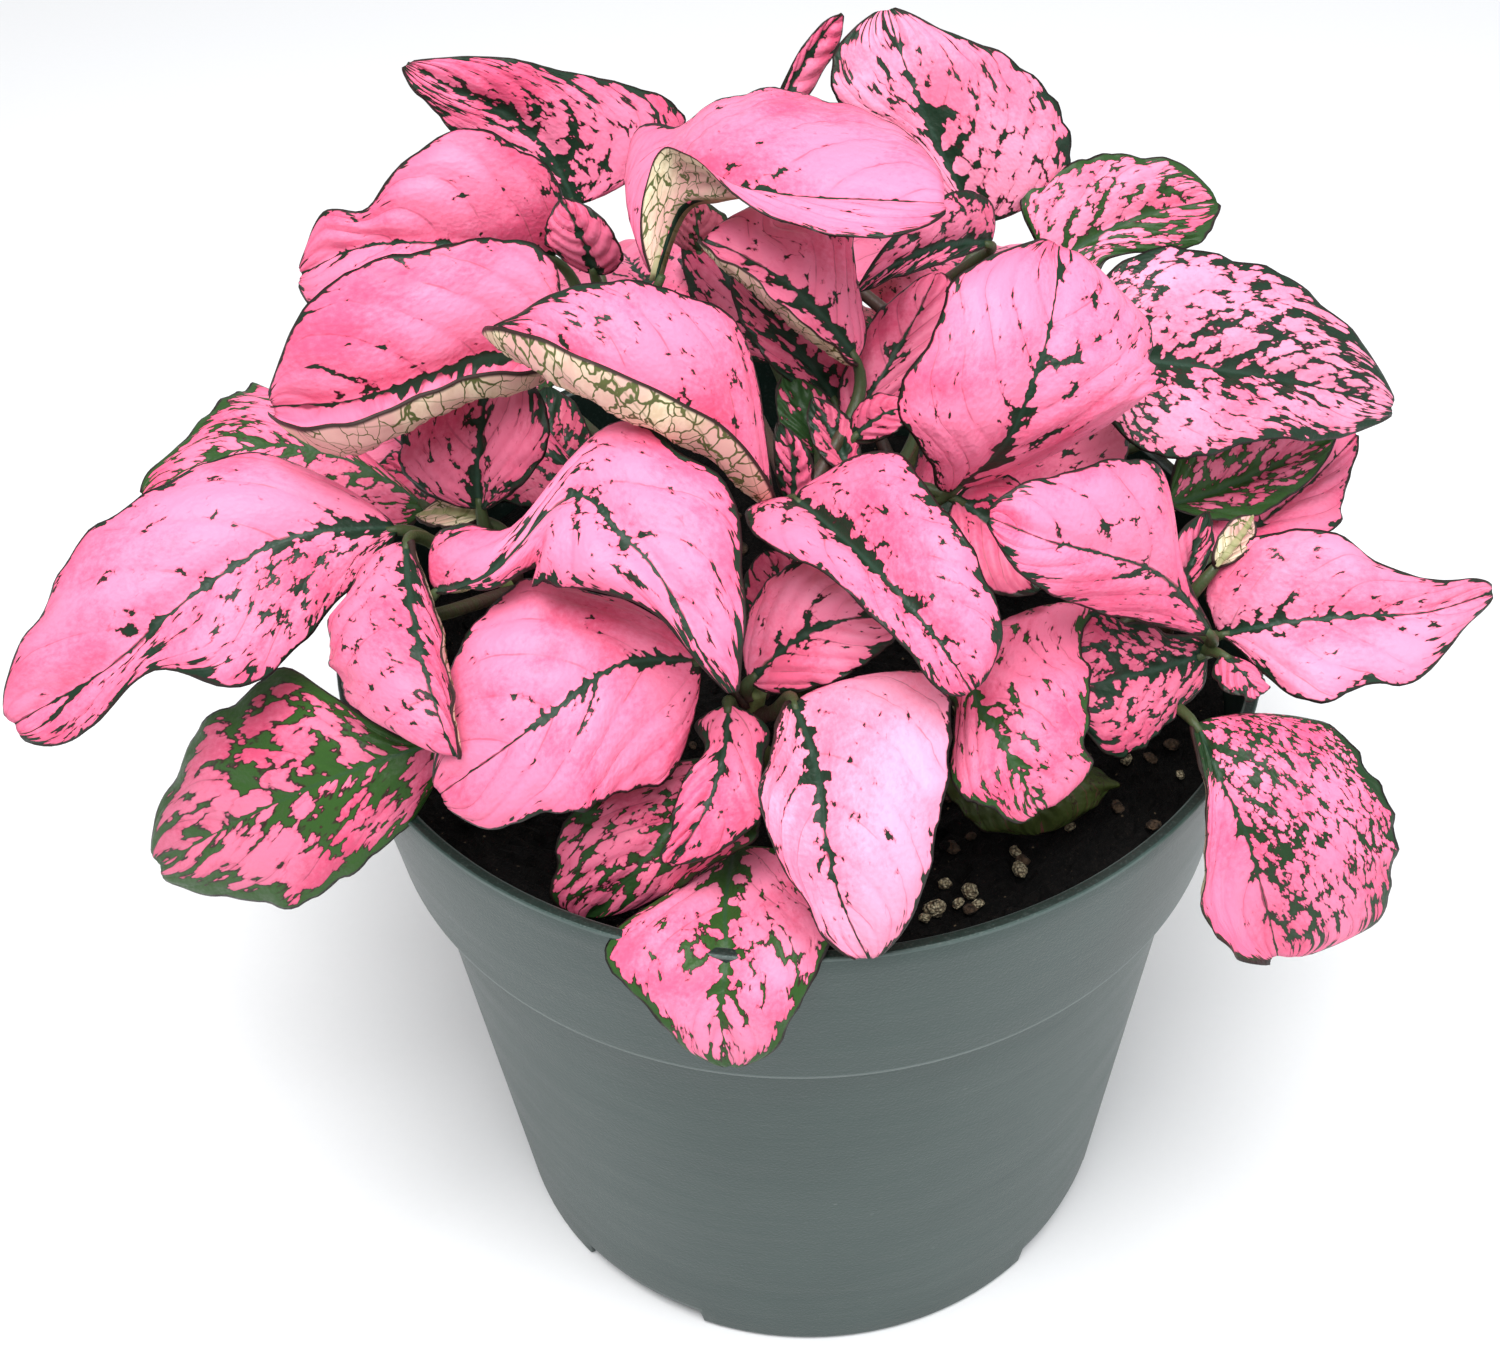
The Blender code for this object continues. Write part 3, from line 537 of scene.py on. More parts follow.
class Leaf:
    """A blade and its stalk.  Its grids have a row for each v and a column for each u."""

    def __init__(self, rng, name, stem, joint, base, middle, tip, left, right, look):
        self.name = name
        self.look = {**LOOK, **look}
        self.rib = through(base, middle, tip)
        self.along = bezier(self.rib, 0.5)[1]
        self.across = unit(np.cross(self.along, FACING))
        self.length = sum(np.linalg.norm(p - self.rib[0]) for p in self.rib[1:]) / 2
        self.seed = rng.uniform(0, 100)
        self.wave = rng.uniform(0, 2 * pi, 6)
        self.v, self.u = blade_grid()
        self.out = np.abs(self.u)          # 0 on the midrib, 1 on the margins
        self.open_halves([np.subtract(edge, middle) for edge in (left, right)])
        self.lay_veins()
        self.stalk = self.draw_stalk(stem, joint)

    def wavering(self, side):
        """Unevenness of one margin, without the broadest waves where its shape is set."""
        plain = self.look["bow"] == STRAIGHT and self.look["wide"] == (EVEN, EVEN)
        waver = self.look["waver"] if plain else 0
        return (1 + waver * np.sin(2 * pi * self.v * 3.1 + self.wave[3] + side)
                + 0.009 * np.sin(2 * pi * self.v * 7.7 + self.wave[4] * side)
                + 0.004 * np.sin(2 * pi * self.v * 15 + self.wave[5] * side))

    def open_halves(self, edges):
        """Smooth blade: each half reaches from the midrib to its edge, cupped and twisted."""
        look = self.look
        midrib, forward = bezier(self.rib, self.v[..., None])
        sideways = unit(np.cross(forward, FACING))
        sideways = unit(self.across + look["fan"] * (sideways - self.across))
        upwards = unit(np.cross(sideways, forward))
        facing = np.cross(self.across, self.along)
        self.blade = midrib + follow(self.v, look["bow"])[..., None] * self.across
        self.half_width = np.zeros_like(self.v)
        slope = np.zeros_like(self.v)
        for side, edge, cup, shape, share, twist in zip(
                (-1, 1), edges, look["lift"], look["outlines"].split(), look["wide"], look["twist"]):
            x, y, z = edge @ self.across, edge @ facing, edge @ self.along
            bow = 4 * cup * self.out * (1 - self.out) * side
            level, height = x * self.out - bow * y, y * self.out + bow * x
            turn = np.radians(follow(self.v, twist))
            turned = ((level * np.cos(turn) + height * np.sin(turn))[..., None] * sideways
                      + (height * np.cos(turn) - level * np.sin(turn))[..., None] * upwards
                      + (z * self.out)[..., None] * self.along)
            size = outline(self.v, shape) * follow(self.v, share) * self.wavering(side)
            width = np.hypot(x, y) * size
            here = self.u * side >= 0
            self.blade[here] += (size[..., None] * turned)[here]
            self.half_width[here] = width[here]
            slope[here] = (np.gradient(width, self.v[:, 0], axis=0) / self.length)[here]
        self.from_rib = self.out * self.half_width
        self.from_margin = (1 - self.out) * self.half_width / np.sqrt(1 + slope ** 2)

    def lay_veins(self):
        """Side veins leave the midrib at about half a right angle and bend towards the tip."""
        lean = self.half_width.max() / self.length
        sweep = lean * (0.55 * self.out + 0.45 * self.out ** 2)
        self.phase = (self.v - sweep) * VEINS + 0.18 * self.u + self.seed
        self.spacing = self.length / VEINS

    def vein_ridges(self, height, width):
        """Rounded ridges along the side veins, which end short of the midrib and margin."""
        from_vein = np.abs((self.phase + 0.5) % 1 - 0.5) * self.spacing
        inside = (self.from_margin / 2.5).clip(0, 1) * (self.from_rib > 0.1)
        return height * np.exp(-(from_vein / width) ** 2) * inside

    def relief(self):
        """Height of the upper side above the smooth blade: swollen, grooved and rippled."""
        fade = np.sin(pi * self.v) ** 0.5
        swelling = (0.5 - 0.5 * np.cos(2 * pi * self.phase)) * np.sin(pi * self.out ** 0.8) ** 0.7
        ripple = (0.5 * np.sin(2 * pi * self.v * 2.3 + self.wave[0] + self.u)
                  + 0.35 * np.sin(2 * pi * self.v * 4.1 + self.wave[1] - self.u)
                  + 0.2 * np.sin(2 * pi * self.v * 7.3 + self.wave[2]))
        height = 0.5 * self.look["quilt"] * swelling * fade
        height -= 0.45 * np.exp(-(self.from_rib / 0.9) ** 2) * fade
        height -= self.vein_ridges(0.14, 0.55)
        return height + 0.55 * min(1, self.half_width.max() / 9) * ripple * self.out ** 3 * fade

    def body(self):
        """Thickness: a sharp margin, a stout midrib and slight ridges under the side veins."""
        body = THICKNESS * (1 - self.out ** 10)
        body += 0.5 * np.exp(-(self.from_rib / 0.6) ** 2) * (1 - 0.75 * self.v)
        body += self.vein_ridges(0.12, 0.35)
        body[:, 0] = body[:, -1] = 0
        return body

    def draw_stalk(self, stem, joint):
        """Points round the stalk, ring by ring from inside the stem to under the blade."""
        start, arrival = bezier(self.rib, 0)
        axis, growth, radius = stem_at(stem, joint)
        out = start - axis
        out = unit(out - (out @ growth) * growth)
        root = axis + out * (radius - STALK_DEPTH)
        reach = np.linalg.norm(start - root)
        curve = (root, root + unit(out + growth) * reach * 0.4, start - arrival * reach * 0.35,
                 start + arrival * 1.2 - np.cross(self.across, arrival) * 0.35)
        rings = []
        side = self.across
        for i in range(STALK_STEPS, -1, -1):
            t = i / STALK_STEPS
            point, tangent = bezier(curve, t)
            side = unit(side - (side @ tangent) * tangent)
            swell = 1 + 0.35 * (1 - t) ** 8 - 0.45 * t ** 6
            rings.append(ring(point, side, tangent, [STALK_RADIUS * swell] * STALK_SIDES))
        return np.reshape(rings[::-1], (-1, 3))

    def attributes(self):
        """What the materials read: on the upper side, the underside and the stalk."""
        look = self.look
        left, right = np.broadcast_to(look["spots"], 2)
        stored = {
            "blade": (self.u * self.half_width, self.v * self.length, self.from_margin),
            "vein": (self.phase, self.spacing, self.v),
            "mark": (np.where(self.u < 0, left, right), look["rib"], look["side"]),
            "tone": (look["rim"], look["painted_shade"], look["grain"]),
            "extra": (self.seed, look["olive"], look["green"]),
        }
        for key, values in stored.items():
            side = np.stack([np.broadcast_to(value, self.v.shape) for value in values], -1).reshape(-1, 3)
            stored[key] = np.concatenate([side, side, np.zeros_like(self.stalk)])
        stored["vein"][-len(self.stalk):, 2] = np.repeat(np.linspace(0, 1, STALK_STEPS + 1), STALK_SIDES)
        return stored

    def make(self, materials):
        """The leaf as an object, kept inside the frame's box."""
        normal = np.cross(np.gradient(self.blade, axis=1), np.gradient(self.blade, axis=0))
        normal /= np.linalg.norm(normal, axis=-1, keepdims=True) + 1e-9
        upper = self.blade + normal * self.relief()[..., None]
        lower = upper - normal * self.body()[..., None]
        points = np.concatenate([upper.reshape(-1, 3), lower.reshape(-1, 3), self.stalk]).clip(*BOX)
        faces, kinds = blade_faces()
        tube = tube_faces(STALK_STEPS + 1, STALK_SIDES, 2 * self.v.size, flip=True)
        kinds += [STALK] * len(tube)
        return add_mesh(self.name + ".look", points, faces + tube, materials, kinds, self.attributes())


# ---------------------------------------------------------------- materials

class Shading:
    """Node material written as expressions: every call adds nodes and returns their output."""

    def __init__(self, name):
        self.material = bpy.data.materials.new(name)
        self.material.use_nodes = True
        self.tree = self.material.node_tree
        self.shader = self.tree.nodes["Principled BSDF"]

    def node(self, kind, inputs, output=0, **settings):
        made = self.tree.nodes.new("ShaderNode" + kind)
        for key, value in settings.items():
            setattr(made, key, value)
        for key, value in inputs.items():
            self.put(made.inputs[key], value)
        return made.outputs[output]

    def put(self, socket, value):
        if isinstance(value, bpy.types.NodeSocket):
            self.tree.links.new(value, socket)
        elif hasattr(socket.default_value, "__len__") and len(socket.default_value) == 4:
            socket.default_value = (*value, 1)
        else:
            socket.default_value = value

    def set(self, **values):
        for key, value in values.items():
            self.put(self.shader.inputs[key.replace("_", " ")], value)

    def math(self, operation, *values):
        return self.node("Math", dict(enumerate(values)), operation=operation)

    def chain(self, operation, *values):
        total = values[0]
        for value in values[1:]:
            total = self.math(operation, total, value)
        return total

    def add(self, *values):
        return self.chain("ADD", *values)

    def times(self, *values):
        return self.chain("MULTIPLY", *values)

    def step(self, value, low, high):
        """0 at low, 1 at high, smooth between."""
        return self.node("MapRange", {0: value, 1: low, 2: high}, interpolation_type="SMOOTHSTEP")

    def ramp(self, value, low, high, start=0.0, end=1.0):
        return self.node("MapRange", {0: value, 1: low, 2: high, 3: start, 4: end})

    def mix(self, share, a, b):
        made = self.tree.nodes.new("ShaderNodeMix")
        made.data_type = "RGBA"
        for socket, value in zip((made.inputs[0], made.inputs[6], made.inputs[7]), (share, a, b)):
            self.put(socket, value)
        return made.outputs[2]

    def vector(self, x, y, z):
        return self.node("CombineXYZ", {0: x, 1: y, 2: z})

    def stretch(self, vector, x, y, z):
        """Vector times a factor for each axis."""
        return self.node("VectorMath", {0: vector, 1: (x, y, z)}, operation="MULTIPLY")

    def shift(self, vector, offset):
        return self.node("VectorMath", {0: vector, 1: offset})

    def attribute(self, name):
        """The three numbers that the mesh stores under a name."""
        made = self.tree.nodes.new("ShaderNodeAttribute")
        made.attribute_name = name
        split = self.tree.nodes.new("ShaderNodeSeparateXYZ")
        self.tree.links.new(made.outputs["Vector"], split.inputs[0])
        return split.outputs

    def position(self):
        """Position on the object in millimetres."""
        made = self.tree.nodes.new("ShaderNodeTexCoord")
        return self.stretch(made.outputs["Object"], 1000, 1000, 1000)

    def noise(self, vector, scale, detail, roughness, output=0):
        return self.node("TexNoise", {"Vector": vector, "Scale": scale, "Detail": detail,
                                      "Roughness": roughness}, output)

    def cells(self, vector, scale, feature="F1"):
        return self.node("TexVoronoi", {"Vector": vector, "Scale": scale}, feature=feature)

    def bump(self, height, distance, strength):
        return self.node("Bump", {"Height": height, "Distance": distance, "Strength": strength})


class BladeShading(Shading):
    """Material of a blade, with the numbers that Leaf.attributes stores."""

    def __init__(self, name):
        super().__init__(name)
        self.x, self.along, self.edge = self.attribute("blade")
        self.phase, self.spacing, self.v = self.attribute("vein")
        self.spots, self.rib, self.side = self.attribute("mark")
        self.rim, self.painted_shade, self.grain = self.attribute("tone")
        self.seed, self.olive, self.green = self.attribute("extra")
        self.mid = self.math("ABSOLUTE", self.x)
        self.right = self.math("GREATER_THAN", self.x, 0.0)
        self.flat = self.vector(self.x, self.along, self.seed)
        # how much painted shade darkens this leaf
        self.shade = self.math("MAXIMUM", self.painted_shade, 0.0)
        to_vein = self.math("SUBTRACT", self.math("FRACT", self.add(self.phase, 0.5)), 0.5)
        self.vein = self.times(self.math("ABSOLUTE", to_vein), self.spacing)
        self.patch = self.layer(31, 0.22, 3, 0.6)

    def layer(self, number, scale, detail, roughness):
        """Noise over the blade that differs from its other layers."""
        where = self.vector(self.x, self.along, self.add(self.seed, number))
        return self.noise(where, scale, detail, roughness)

    def uneven(self, x, y, z, scale, detail, roughness, low, high, least, most):
        """Noise drawn out to run from least to most."""
        return self.ramp(self.noise(self.vector(x, y, z), scale, detail, roughness), low, high, least, most)

    def push(self, distance, width, height):
        """Darkening that is strong on a line and dies away in a long tail."""
        near = self.ramp(self.math("DIVIDE", distance, self.add(width, 0.001)), 0.0, 2.8, 1.0, 0.0)
        return self.times(self.math("POWER", near, 2.6), height)


def lobe_grid(g):
    """Place on the blade, drawn out along the side veins and scaled to the leaf's grain."""
    return g.vector(g.math("DIVIDE", g.times(g.phase, g.spacing, 0.8), g.grain),
                    g.math("DIVIDE", g.add(g.times(g.mid, 0.8), g.times(g.along, 0.5)), g.grain),
                    g.add(g.seed, g.times(g.right, 37)))


def lobe_field(g, grid):
    """Rounded lobes of two sizes, which are low in the middle of a pink patch."""
    warp = g.stretch(g.noise(grid, 0.9, 3, 0.65, 1), 0.9, 0.9, 0.9)
    bent = g.shift(grid, warp)
    large, small = g.cells(bent, 0.95), g.cells(bent, 2.4)
    return g.add(g.times(large, 0.72), g.times(small, 0.30), g.times(g.patch, 0.75))


def dark_lines(g):
    """How much the midrib, the side veins and the margin darken what is near them."""
    lean = g.math("SUBTRACT", g.along, g.times(g.mid, 0.6))
    rake = g.add(g.along, g.times(g.edge, 0.5))
    swing = g.uneven(g.add(g.seed, 11), g.along, 0.0, 0.22, 3, 0.6, 0.38, 0.62, 0.4, 1.3)
    spike = g.uneven(g.add(g.seed, g.times(g.right, 5)), lean, 0.0, 0.85, 1, 0.5, 0.40, 0.62, 0.25, 1.6)
    tooth = g.uneven(g.add(g.seed, g.times(g.right, 9), 3), rake, 0.0, 0.8, 1, 0.5, 0.42, 0.62, 0.45, 1.6)
    branch = g.uneven(g.phase, g.times(g.right, 7), g.seed, 0.8, 2, 0.5, 0.40, 0.62, 0.15, 1.5)
    taper = g.times(g.ramp(g.v, 0.05, 0.75, 1.0, 0.08), swing, spike)
    reach = g.ramp(g.math("DIVIDE", g.mid, g.add(g.mid, g.edge, 0.01)), 0.0, 0.7, 1.1, 0.3)
    return (g.push(g.mid, g.times(g.rib, taper), 0.8), g.push(g.mid, g.times(taper, 1.5), 0.24),
            g.times(g.push(g.vein, g.times(g.side, reach), 0.30), reach, branch),
            g.push(g.edge, g.rim, 0.55), g.push(g.edge, g.times(tooth, 0.48), 0.66))


def leaf_pink(g, fleck, over):
    """Hot to soft pink, hotter on the side veins and margin, crimson round the dark patches; painted shade
    makes it darker crimson, and pale values lighten it.
    """
    broad = g.layer(53, 0.12, 2, 0.5)
    pale = g.times(g.math("MINIMUM", g.painted_shade, 0.0), -1.0)
    # painted shade: the pinks of a leaf in shadow turn darker crimson
    hot = g.mix(pale, g.mix(g.shade, (0.76, 0.092, 0.205), (0.38, 0.030, 0.085)), (0.86, 0.21, 0.34))
    soft = g.mix(pale, g.mix(g.shade, (0.87, 0.210, 0.365), (0.58, 0.110, 0.185)), (0.90, 0.36, 0.53))
    pink = g.mix(g.step(g.add(g.times(broad, 0.7), g.times(fleck, 0.3)), 0.32, 0.57), hot, soft)
    pink = g.mix(g.times(g.step(g.vein, 0.8, 0.0), 0.2), pink, hot)
    pink = g.mix(g.times(g.step(g.edge, 2.5, 0.2), 0.4), pink, hot)
    return g.mix(g.times(g.step(over, -0.09, 0.0), 0.4), pink, (0.50, 0.045, 0.11))


def leaf_green(g, over):
    """Dark green, olive on an olive leaf, with a brown edge."""
    deep = g.mix(g.green, (0.006, 0.019, 0.013), (0.030, 0.090, 0.014))
    core = g.mix(g.times(g.olive, 0.8), deep, (0.05, 0.075, 0.015))
    return g.mix(g.step(over, 0.03, 0.13), (0.030, 0.010, 0.010), core)


def fine_lines(g, drift):
    """Thin continuous midrib and broken side veins."""
    outer, inner = g.ramp(g.v, 0, 1, 0.34, 0.10), g.ramp(g.v, 0, 1, 0.12, 0.0)
    rib = g.step(g.add(g.mid, g.times(drift, 0.5)), outer, inner)
    broken = g.step(g.layer(7, 0.22, 2, 0.5), 0.44, 0.60)
    side = g.times(g.step(g.add(g.vein, g.times(drift, 0.35)), 0.15, 0.02), broken, 0.5)
    return g.math("MAXIMUM", rib, side)


def leaf_face():
    """Upper side: pink patches of rounded lobes over dark green, with dark veins and margin."""
    g = BladeShading("leaf_face")
    drift = g.math("SUBTRACT", g.noise(g.flat, 0.5, 3, 0.6), 0.5)
    fleck = g.noise(g.flat, 1.8, 3, 0.65)
    grid = lobe_grid(g)
    level = g.ramp(g.spots, 0.0, 1.0, 1.31, 0.86)
    over = g.math("SUBTRACT", g.add(lobe_field(g, grid), *dark_lines(g)), level)
    dark = g.step(over, 0.0, 0.035)
    vein_colour = g.mix(g.step(g.v, 0.0, 0.5), (0.04, 0.07, 0.025), (0.16, 0.022, 0.045))
    colour = g.mix(g.olive, leaf_pink(g, fleck, over), (0.040, 0.055, 0.013))
    colour = g.mix(g.times(fine_lines(g, drift), 0.85), colour, vein_colour)
    colour = g.mix(dark, colour, leaf_green(g, over))
    rib_shine = g.times(g.step(g.mid, 0.3, 0.05), dark, g.ramp(g.v, 0, 0.9, 0.5, 0.0))
    colour = g.mix(rib_shine, colour, (0.030, 0.075, 0.050))
    margin = g.step(g.add(g.edge, g.times(drift, 0.6)), 0.30, 0.14)
    colour = g.mix(margin, colour, (0.022, 0.014, 0.012))
    pucker = g.noise(grid, 0.5, 2, 0.5)
    height = g.add(g.times(g.cells(g.flat, 2.2), 0.5), g.times(fleck, 0.6), g.times(dark, -0.25),
                   g.times(pucker, 3.0), g.times(g.step(g.vein, 0.7, 0.0), -0.4))
    g.set(Base_Color=colour, Roughness=g.ramp(fleck, 0.3, 0.7, 0.38, 0.52),
          Normal=g.bump(height, 0.00012, 0.7), IOR=1.42, Specular_IOR_Level=0.3)
    return g.material


def leaf_back():
    """Underside: cream to dull pink with a fine olive net and a raised pale midrib; painted shade makes it a
    darker red.
    """
    g = BladeShading("leaf_back")
    broad = g.noise(g.flat, 0.14, 2, 0.5)
    fleck = g.noise(g.flat, 1.6, 3, 0.65)
    net = g.cells(g.shift(g.flat, g.noise(g.flat, 0.8, 2, 0.6, 1)), 0.85, "DISTANCE_TO_EDGE")
    cream = g.mix(g.step(fleck, 0.3, 0.7), (0.62, 0.52, 0.33), (0.78, 0.70, 0.50))
    ground = g.mix(g.step(broad, 0.40, 0.62), cream, (0.66, 0.38, 0.34))
    # painted shade: a leaf in shadow gets a darker red underside
    ground = g.mix(g.times(g.shade, 0.6), ground, (0.34, 0.10, 0.12))
    olive = g.mix(fleck, (0.050, 0.070, 0.022), (0.13, 0.15, 0.045))
    reach = g.ramp(g.add(g.patch, g.times(g.spots, 0.5)), 0.45, 0.85, 0.015, 0.10)
    netted = g.step(net, reach, g.times(reach, 0.5))
    sides = g.times(g.step(g.vein, 0.22, 0.05), 0.45)
    rib = g.times(g.step(g.mid, g.ramp(g.v, 0, 1, 0.7, 0.2), 0.1), 0.8)
    colour = g.mix(g.math("MAXIMUM", netted, sides), ground, olive)
    colour = g.mix(rib, colour, (0.24, 0.25, 0.10))
    colour = g.mix(g.step(g.edge, 0.26, 0.12), colour, (0.030, 0.016, 0.013))
    height = g.add(g.times(net, -0.6), g.times(fleck, 0.5))
    g.set(Base_Color=colour, Roughness=g.ramp(fleck, 0.3, 0.7, 0.5, 0.65),
          Normal=g.bump(height, 0.00015, 0.6), IOR=1.4, Specular_IOR_Level=0.35)
    return g.material


def stalk_skin(name, low, high):
    """Stalk or stem: one colour runs into another along it, with fine lengthwise streaks."""
    g = Shading(name)
    v = g.attribute("vein")[2]
    where = g.position()
    streak = g.noise(g.stretch(where, 1.0, 1.0, 0.2), 1.6, 3, 0.6)
    fleck = g.noise(where, 4.0, 3, 0.6)
    colour = g.mix(g.step(g.add(g.times(v, 0.7), g.times(streak, 0.6)), 0.35, 0.85), low, high)
    colour = g.mix(g.times(g.step(fleck, 0.55, 0.7), 0.35), colour, (0.10, 0.035, 0.035))
    g.set(Base_Color=colour, Roughness=g.ramp(fleck, 0.3, 0.7, 0.4, 0.6),
          Normal=g.bump(g.add(streak, g.times(fleck, 0.5)), 0.00015, 0.6), IOR=1.42)
    return g.material


def pot_plastic(name, low, high):
    """Moulded recycled plastic: finely textured, with faint flow marks and painted highlights as thin light
    lines at the collar's foot and the rim's edge.
    """
    g = Shading(name)
    where = g.position()
    mottle = g.noise(where, 0.05, 3, 0.6)
    grain = g.noise(where, 3.2, 3, 0.6)
    flow = g.noise(g.stretch(where, 0.25, 0.25, 1.6), 0.12, 4, 0.6)
    speck = g.step(g.cells(where, 0.28), 0.09, 0.05)
    height = g.node("SeparateXYZ", {0: where}, 2)
    # painted highlights: thin light lines where the collar's foot and the rim's edge catch the light
    painted_highlight_bands = [g.step(g.math("ABSOLUTE", g.math("SUBTRACT", height, at)), wide, wide / 2)
             for at, wide in ((COLLAR_FOOT + 0.35, 0.45), (POT_HEIGHT - 0.2, 0.16))]
    painted_edge_highlight = g.times(g.math("MAXIMUM", *painted_highlight_bands), 0.5)
    colour = g.mix(g.step(g.add(g.times(mottle, 0.6), g.times(flow, 0.4)), 0.3, 0.7), low, high)
    colour = g.mix(g.times(g.step(grain, 0.52, 0.7), 0.30), colour, (0.06, 0.085, 0.078))
    colour = g.mix(g.times(painted_edge_highlight, g.ramp(flow, 0.35, 0.6, 0.4, 1.0)), colour, (0.17, 0.21, 0.20))
    colour = g.mix(g.times(speck, g.step(mottle, 0.5, 0.6), 0.3), colour, (0.11, 0.14, 0.13))
    gloss = g.add(g.times(grain, 0.5), g.times(flow, 0.5))
    g.set(Base_Color=colour, Roughness=g.ramp(gloss, 0.3, 0.7, 0.34, 0.46),
          Normal=g.bump(g.add(grain, g.times(flow, 1.5)), 0.00009, 0.7), IOR=1.5,
          Specular_IOR_Level=0.4)
    return g.material


def soil_mix():
    """Damp peat: black-brown crumbs with fibres and a few lighter specks."""
    g = Shading("soil_mix")
    where = g.position()
    crumb = g.cells(where, 0.9)
    tone = g.noise(where, 0.7, 4, 0.7)
    grit = g.noise(where, 3.5, 3, 0.7)
    colour = g.mix(g.step(tone, 0.4, 0.65), (0.0010, 0.0009, 0.0009), (0.0055, 0.0045, 0.0040))
    colour = g.mix(g.times(g.step(grit, 0.62, 0.72), 0.7), colour, (0.075, 0.055, 0.04))
    colour = g.mix(g.step(g.cells(where, 0.55), 0.10, 0.06), colour, (0.16, 0.12, 0.075))
    g.set(Base_Color=colour, Roughness=g.ramp(grit, 0.3, 0.7, 0.55, 0.9),
          Normal=g.bump(g.add(crumb, tone, g.times(grit, 0.5)), 0.0011, 1.0), IOR=1.4,
          Specular_IOR_Level=0.3)
    return g.material


def grit_skin(name, low, high, scale):
    """Loose bits on the soil: perlite crumbs or bark chips."""
    g = Shading(name)
    where = g.position()
    tone = g.noise(where, scale, 4, 0.65)
    pits = g.cells(where, scale * 1.7)
    colour = g.mix(g.step(tone, 0.35, 0.65), low, high)
    colour = g.mix(g.times(g.step(pits, 0.45, 0.7), 0.75), colour, (0.07, 0.04, 0.02))
    g.set(Base_Color=colour, Roughness=g.ramp(tone, 0.3, 0.7, 0.7, 0.95),
          Normal=g.bump(g.add(tone, g.times(pits, -1.5)), 0.0005, 1.0))
    return g.material


def floor_paper():
    g = Shading("floor_paper")
    tone = g.noise(g.position(), 0.8, 3, 0.6)
    g.set(Base_Color=g.mix(tone, (0.84, 0.85, 0.865), (0.86, 0.87, 0.885)), Roughness=0.9,
          Specular_IOR_Level=0.1, Normal=g.bump(tone, 0.00003, 0.4))
    return g.material


# ---------------------------------------------------------------- stems

def make_stem(material, stem):
    """Square-shouldered stem with swollen nodes."""
    curve = stem_curve(stem)
    shares = [STEM_END * i / (STEM_RINGS - 1) for i in range(STEM_RINGS)]
    points = []
    for t in shares:
        centre, tangent = bezier(curve, t)
        across = unit(np.cross(tangent, (0, 1, 0)))
        swell = 1 + 0.16 * np.exp(-((t * STEM_NODES % 1 - 0.5) / 0.12) ** 2)
        foot = 1 + 0.25 * np.exp(-(t / 0.03) ** 2)
        radius = np.interp(t, (0, 0.5, 1), STEM_RADII) * STEM_SLIMNESS * swell * foot
        corners = [4 * 2 * pi * k / STEM_SIDES + 1.5 * t for k in range(STEM_SIDES)]
        points += ring(centre, across, tangent, [radius * (1 + 0.07 * cos(a)) for a in corners])
    # the foot sinks a little into the crumbs
    for k in range(STEM_SIDES):
        points[k][2] = SOIL_TOP + 0.2
    points.append(bezier(curve, 1.0)[0])
    faces = grid_faces(STEM_RINGS, STEM_SIDES, closed=True, flip=True)
    faces.append(tuple(range(STEM_SIDES)))
    last = (STEM_RINGS - 1) * STEM_SIDES
    faces += [(last + (k + 1) % STEM_SIDES, last + k, len(points) - 1) for k in range(STEM_SIDES)]
    heights = [(0, 1, t) for t in shares for _ in range(STEM_SIDES)] + [(0, 1, 1)]
    name = f"stem_{stem}"
    obj = add_mesh(name + ".look", points, faces, [material], attributes={"vein": heights})
    place(obj, name)


# ---------------------------------------------------------------- pot

def arc(centre, radius, start, end, steps):
    turns = [radians(start + (end - start) * i / steps) for i in range(steps + 1)]
    return [(centre[0] + radius * cos(turn), centre[1] + radius * sin(turn)) for turn in turns]


def inner_radius(height):
    """Radius of the pot's inside wall at a height."""
    if height > COLLAR_FOOT + WALL:
        share = (height - COLLAR_FOOT) / (POT_HEIGHT - COLLAR_FOOT)
        return COLLAR_FOOT_RADIUS + (RIM_RADIUS - COLLAR_FOOT_RADIUS) * share - WALL
    return BASE_RADIUS + (BODY_TOP_RADIUS - BASE_RADIUS) * height / COLLAR_FOOT - WALL


def wall_line(start, end, step):
    """Points from start to end, none further apart than about a step."""
    count = max(1, int(np.hypot(end[0] - start[0], end[1] - start[1]) / step))
    return [(start[0] + (end[0] - start[0]) * i / count, start[1] + (end[1] - start[1]) * i / count)
            for i in range(count + 1)]


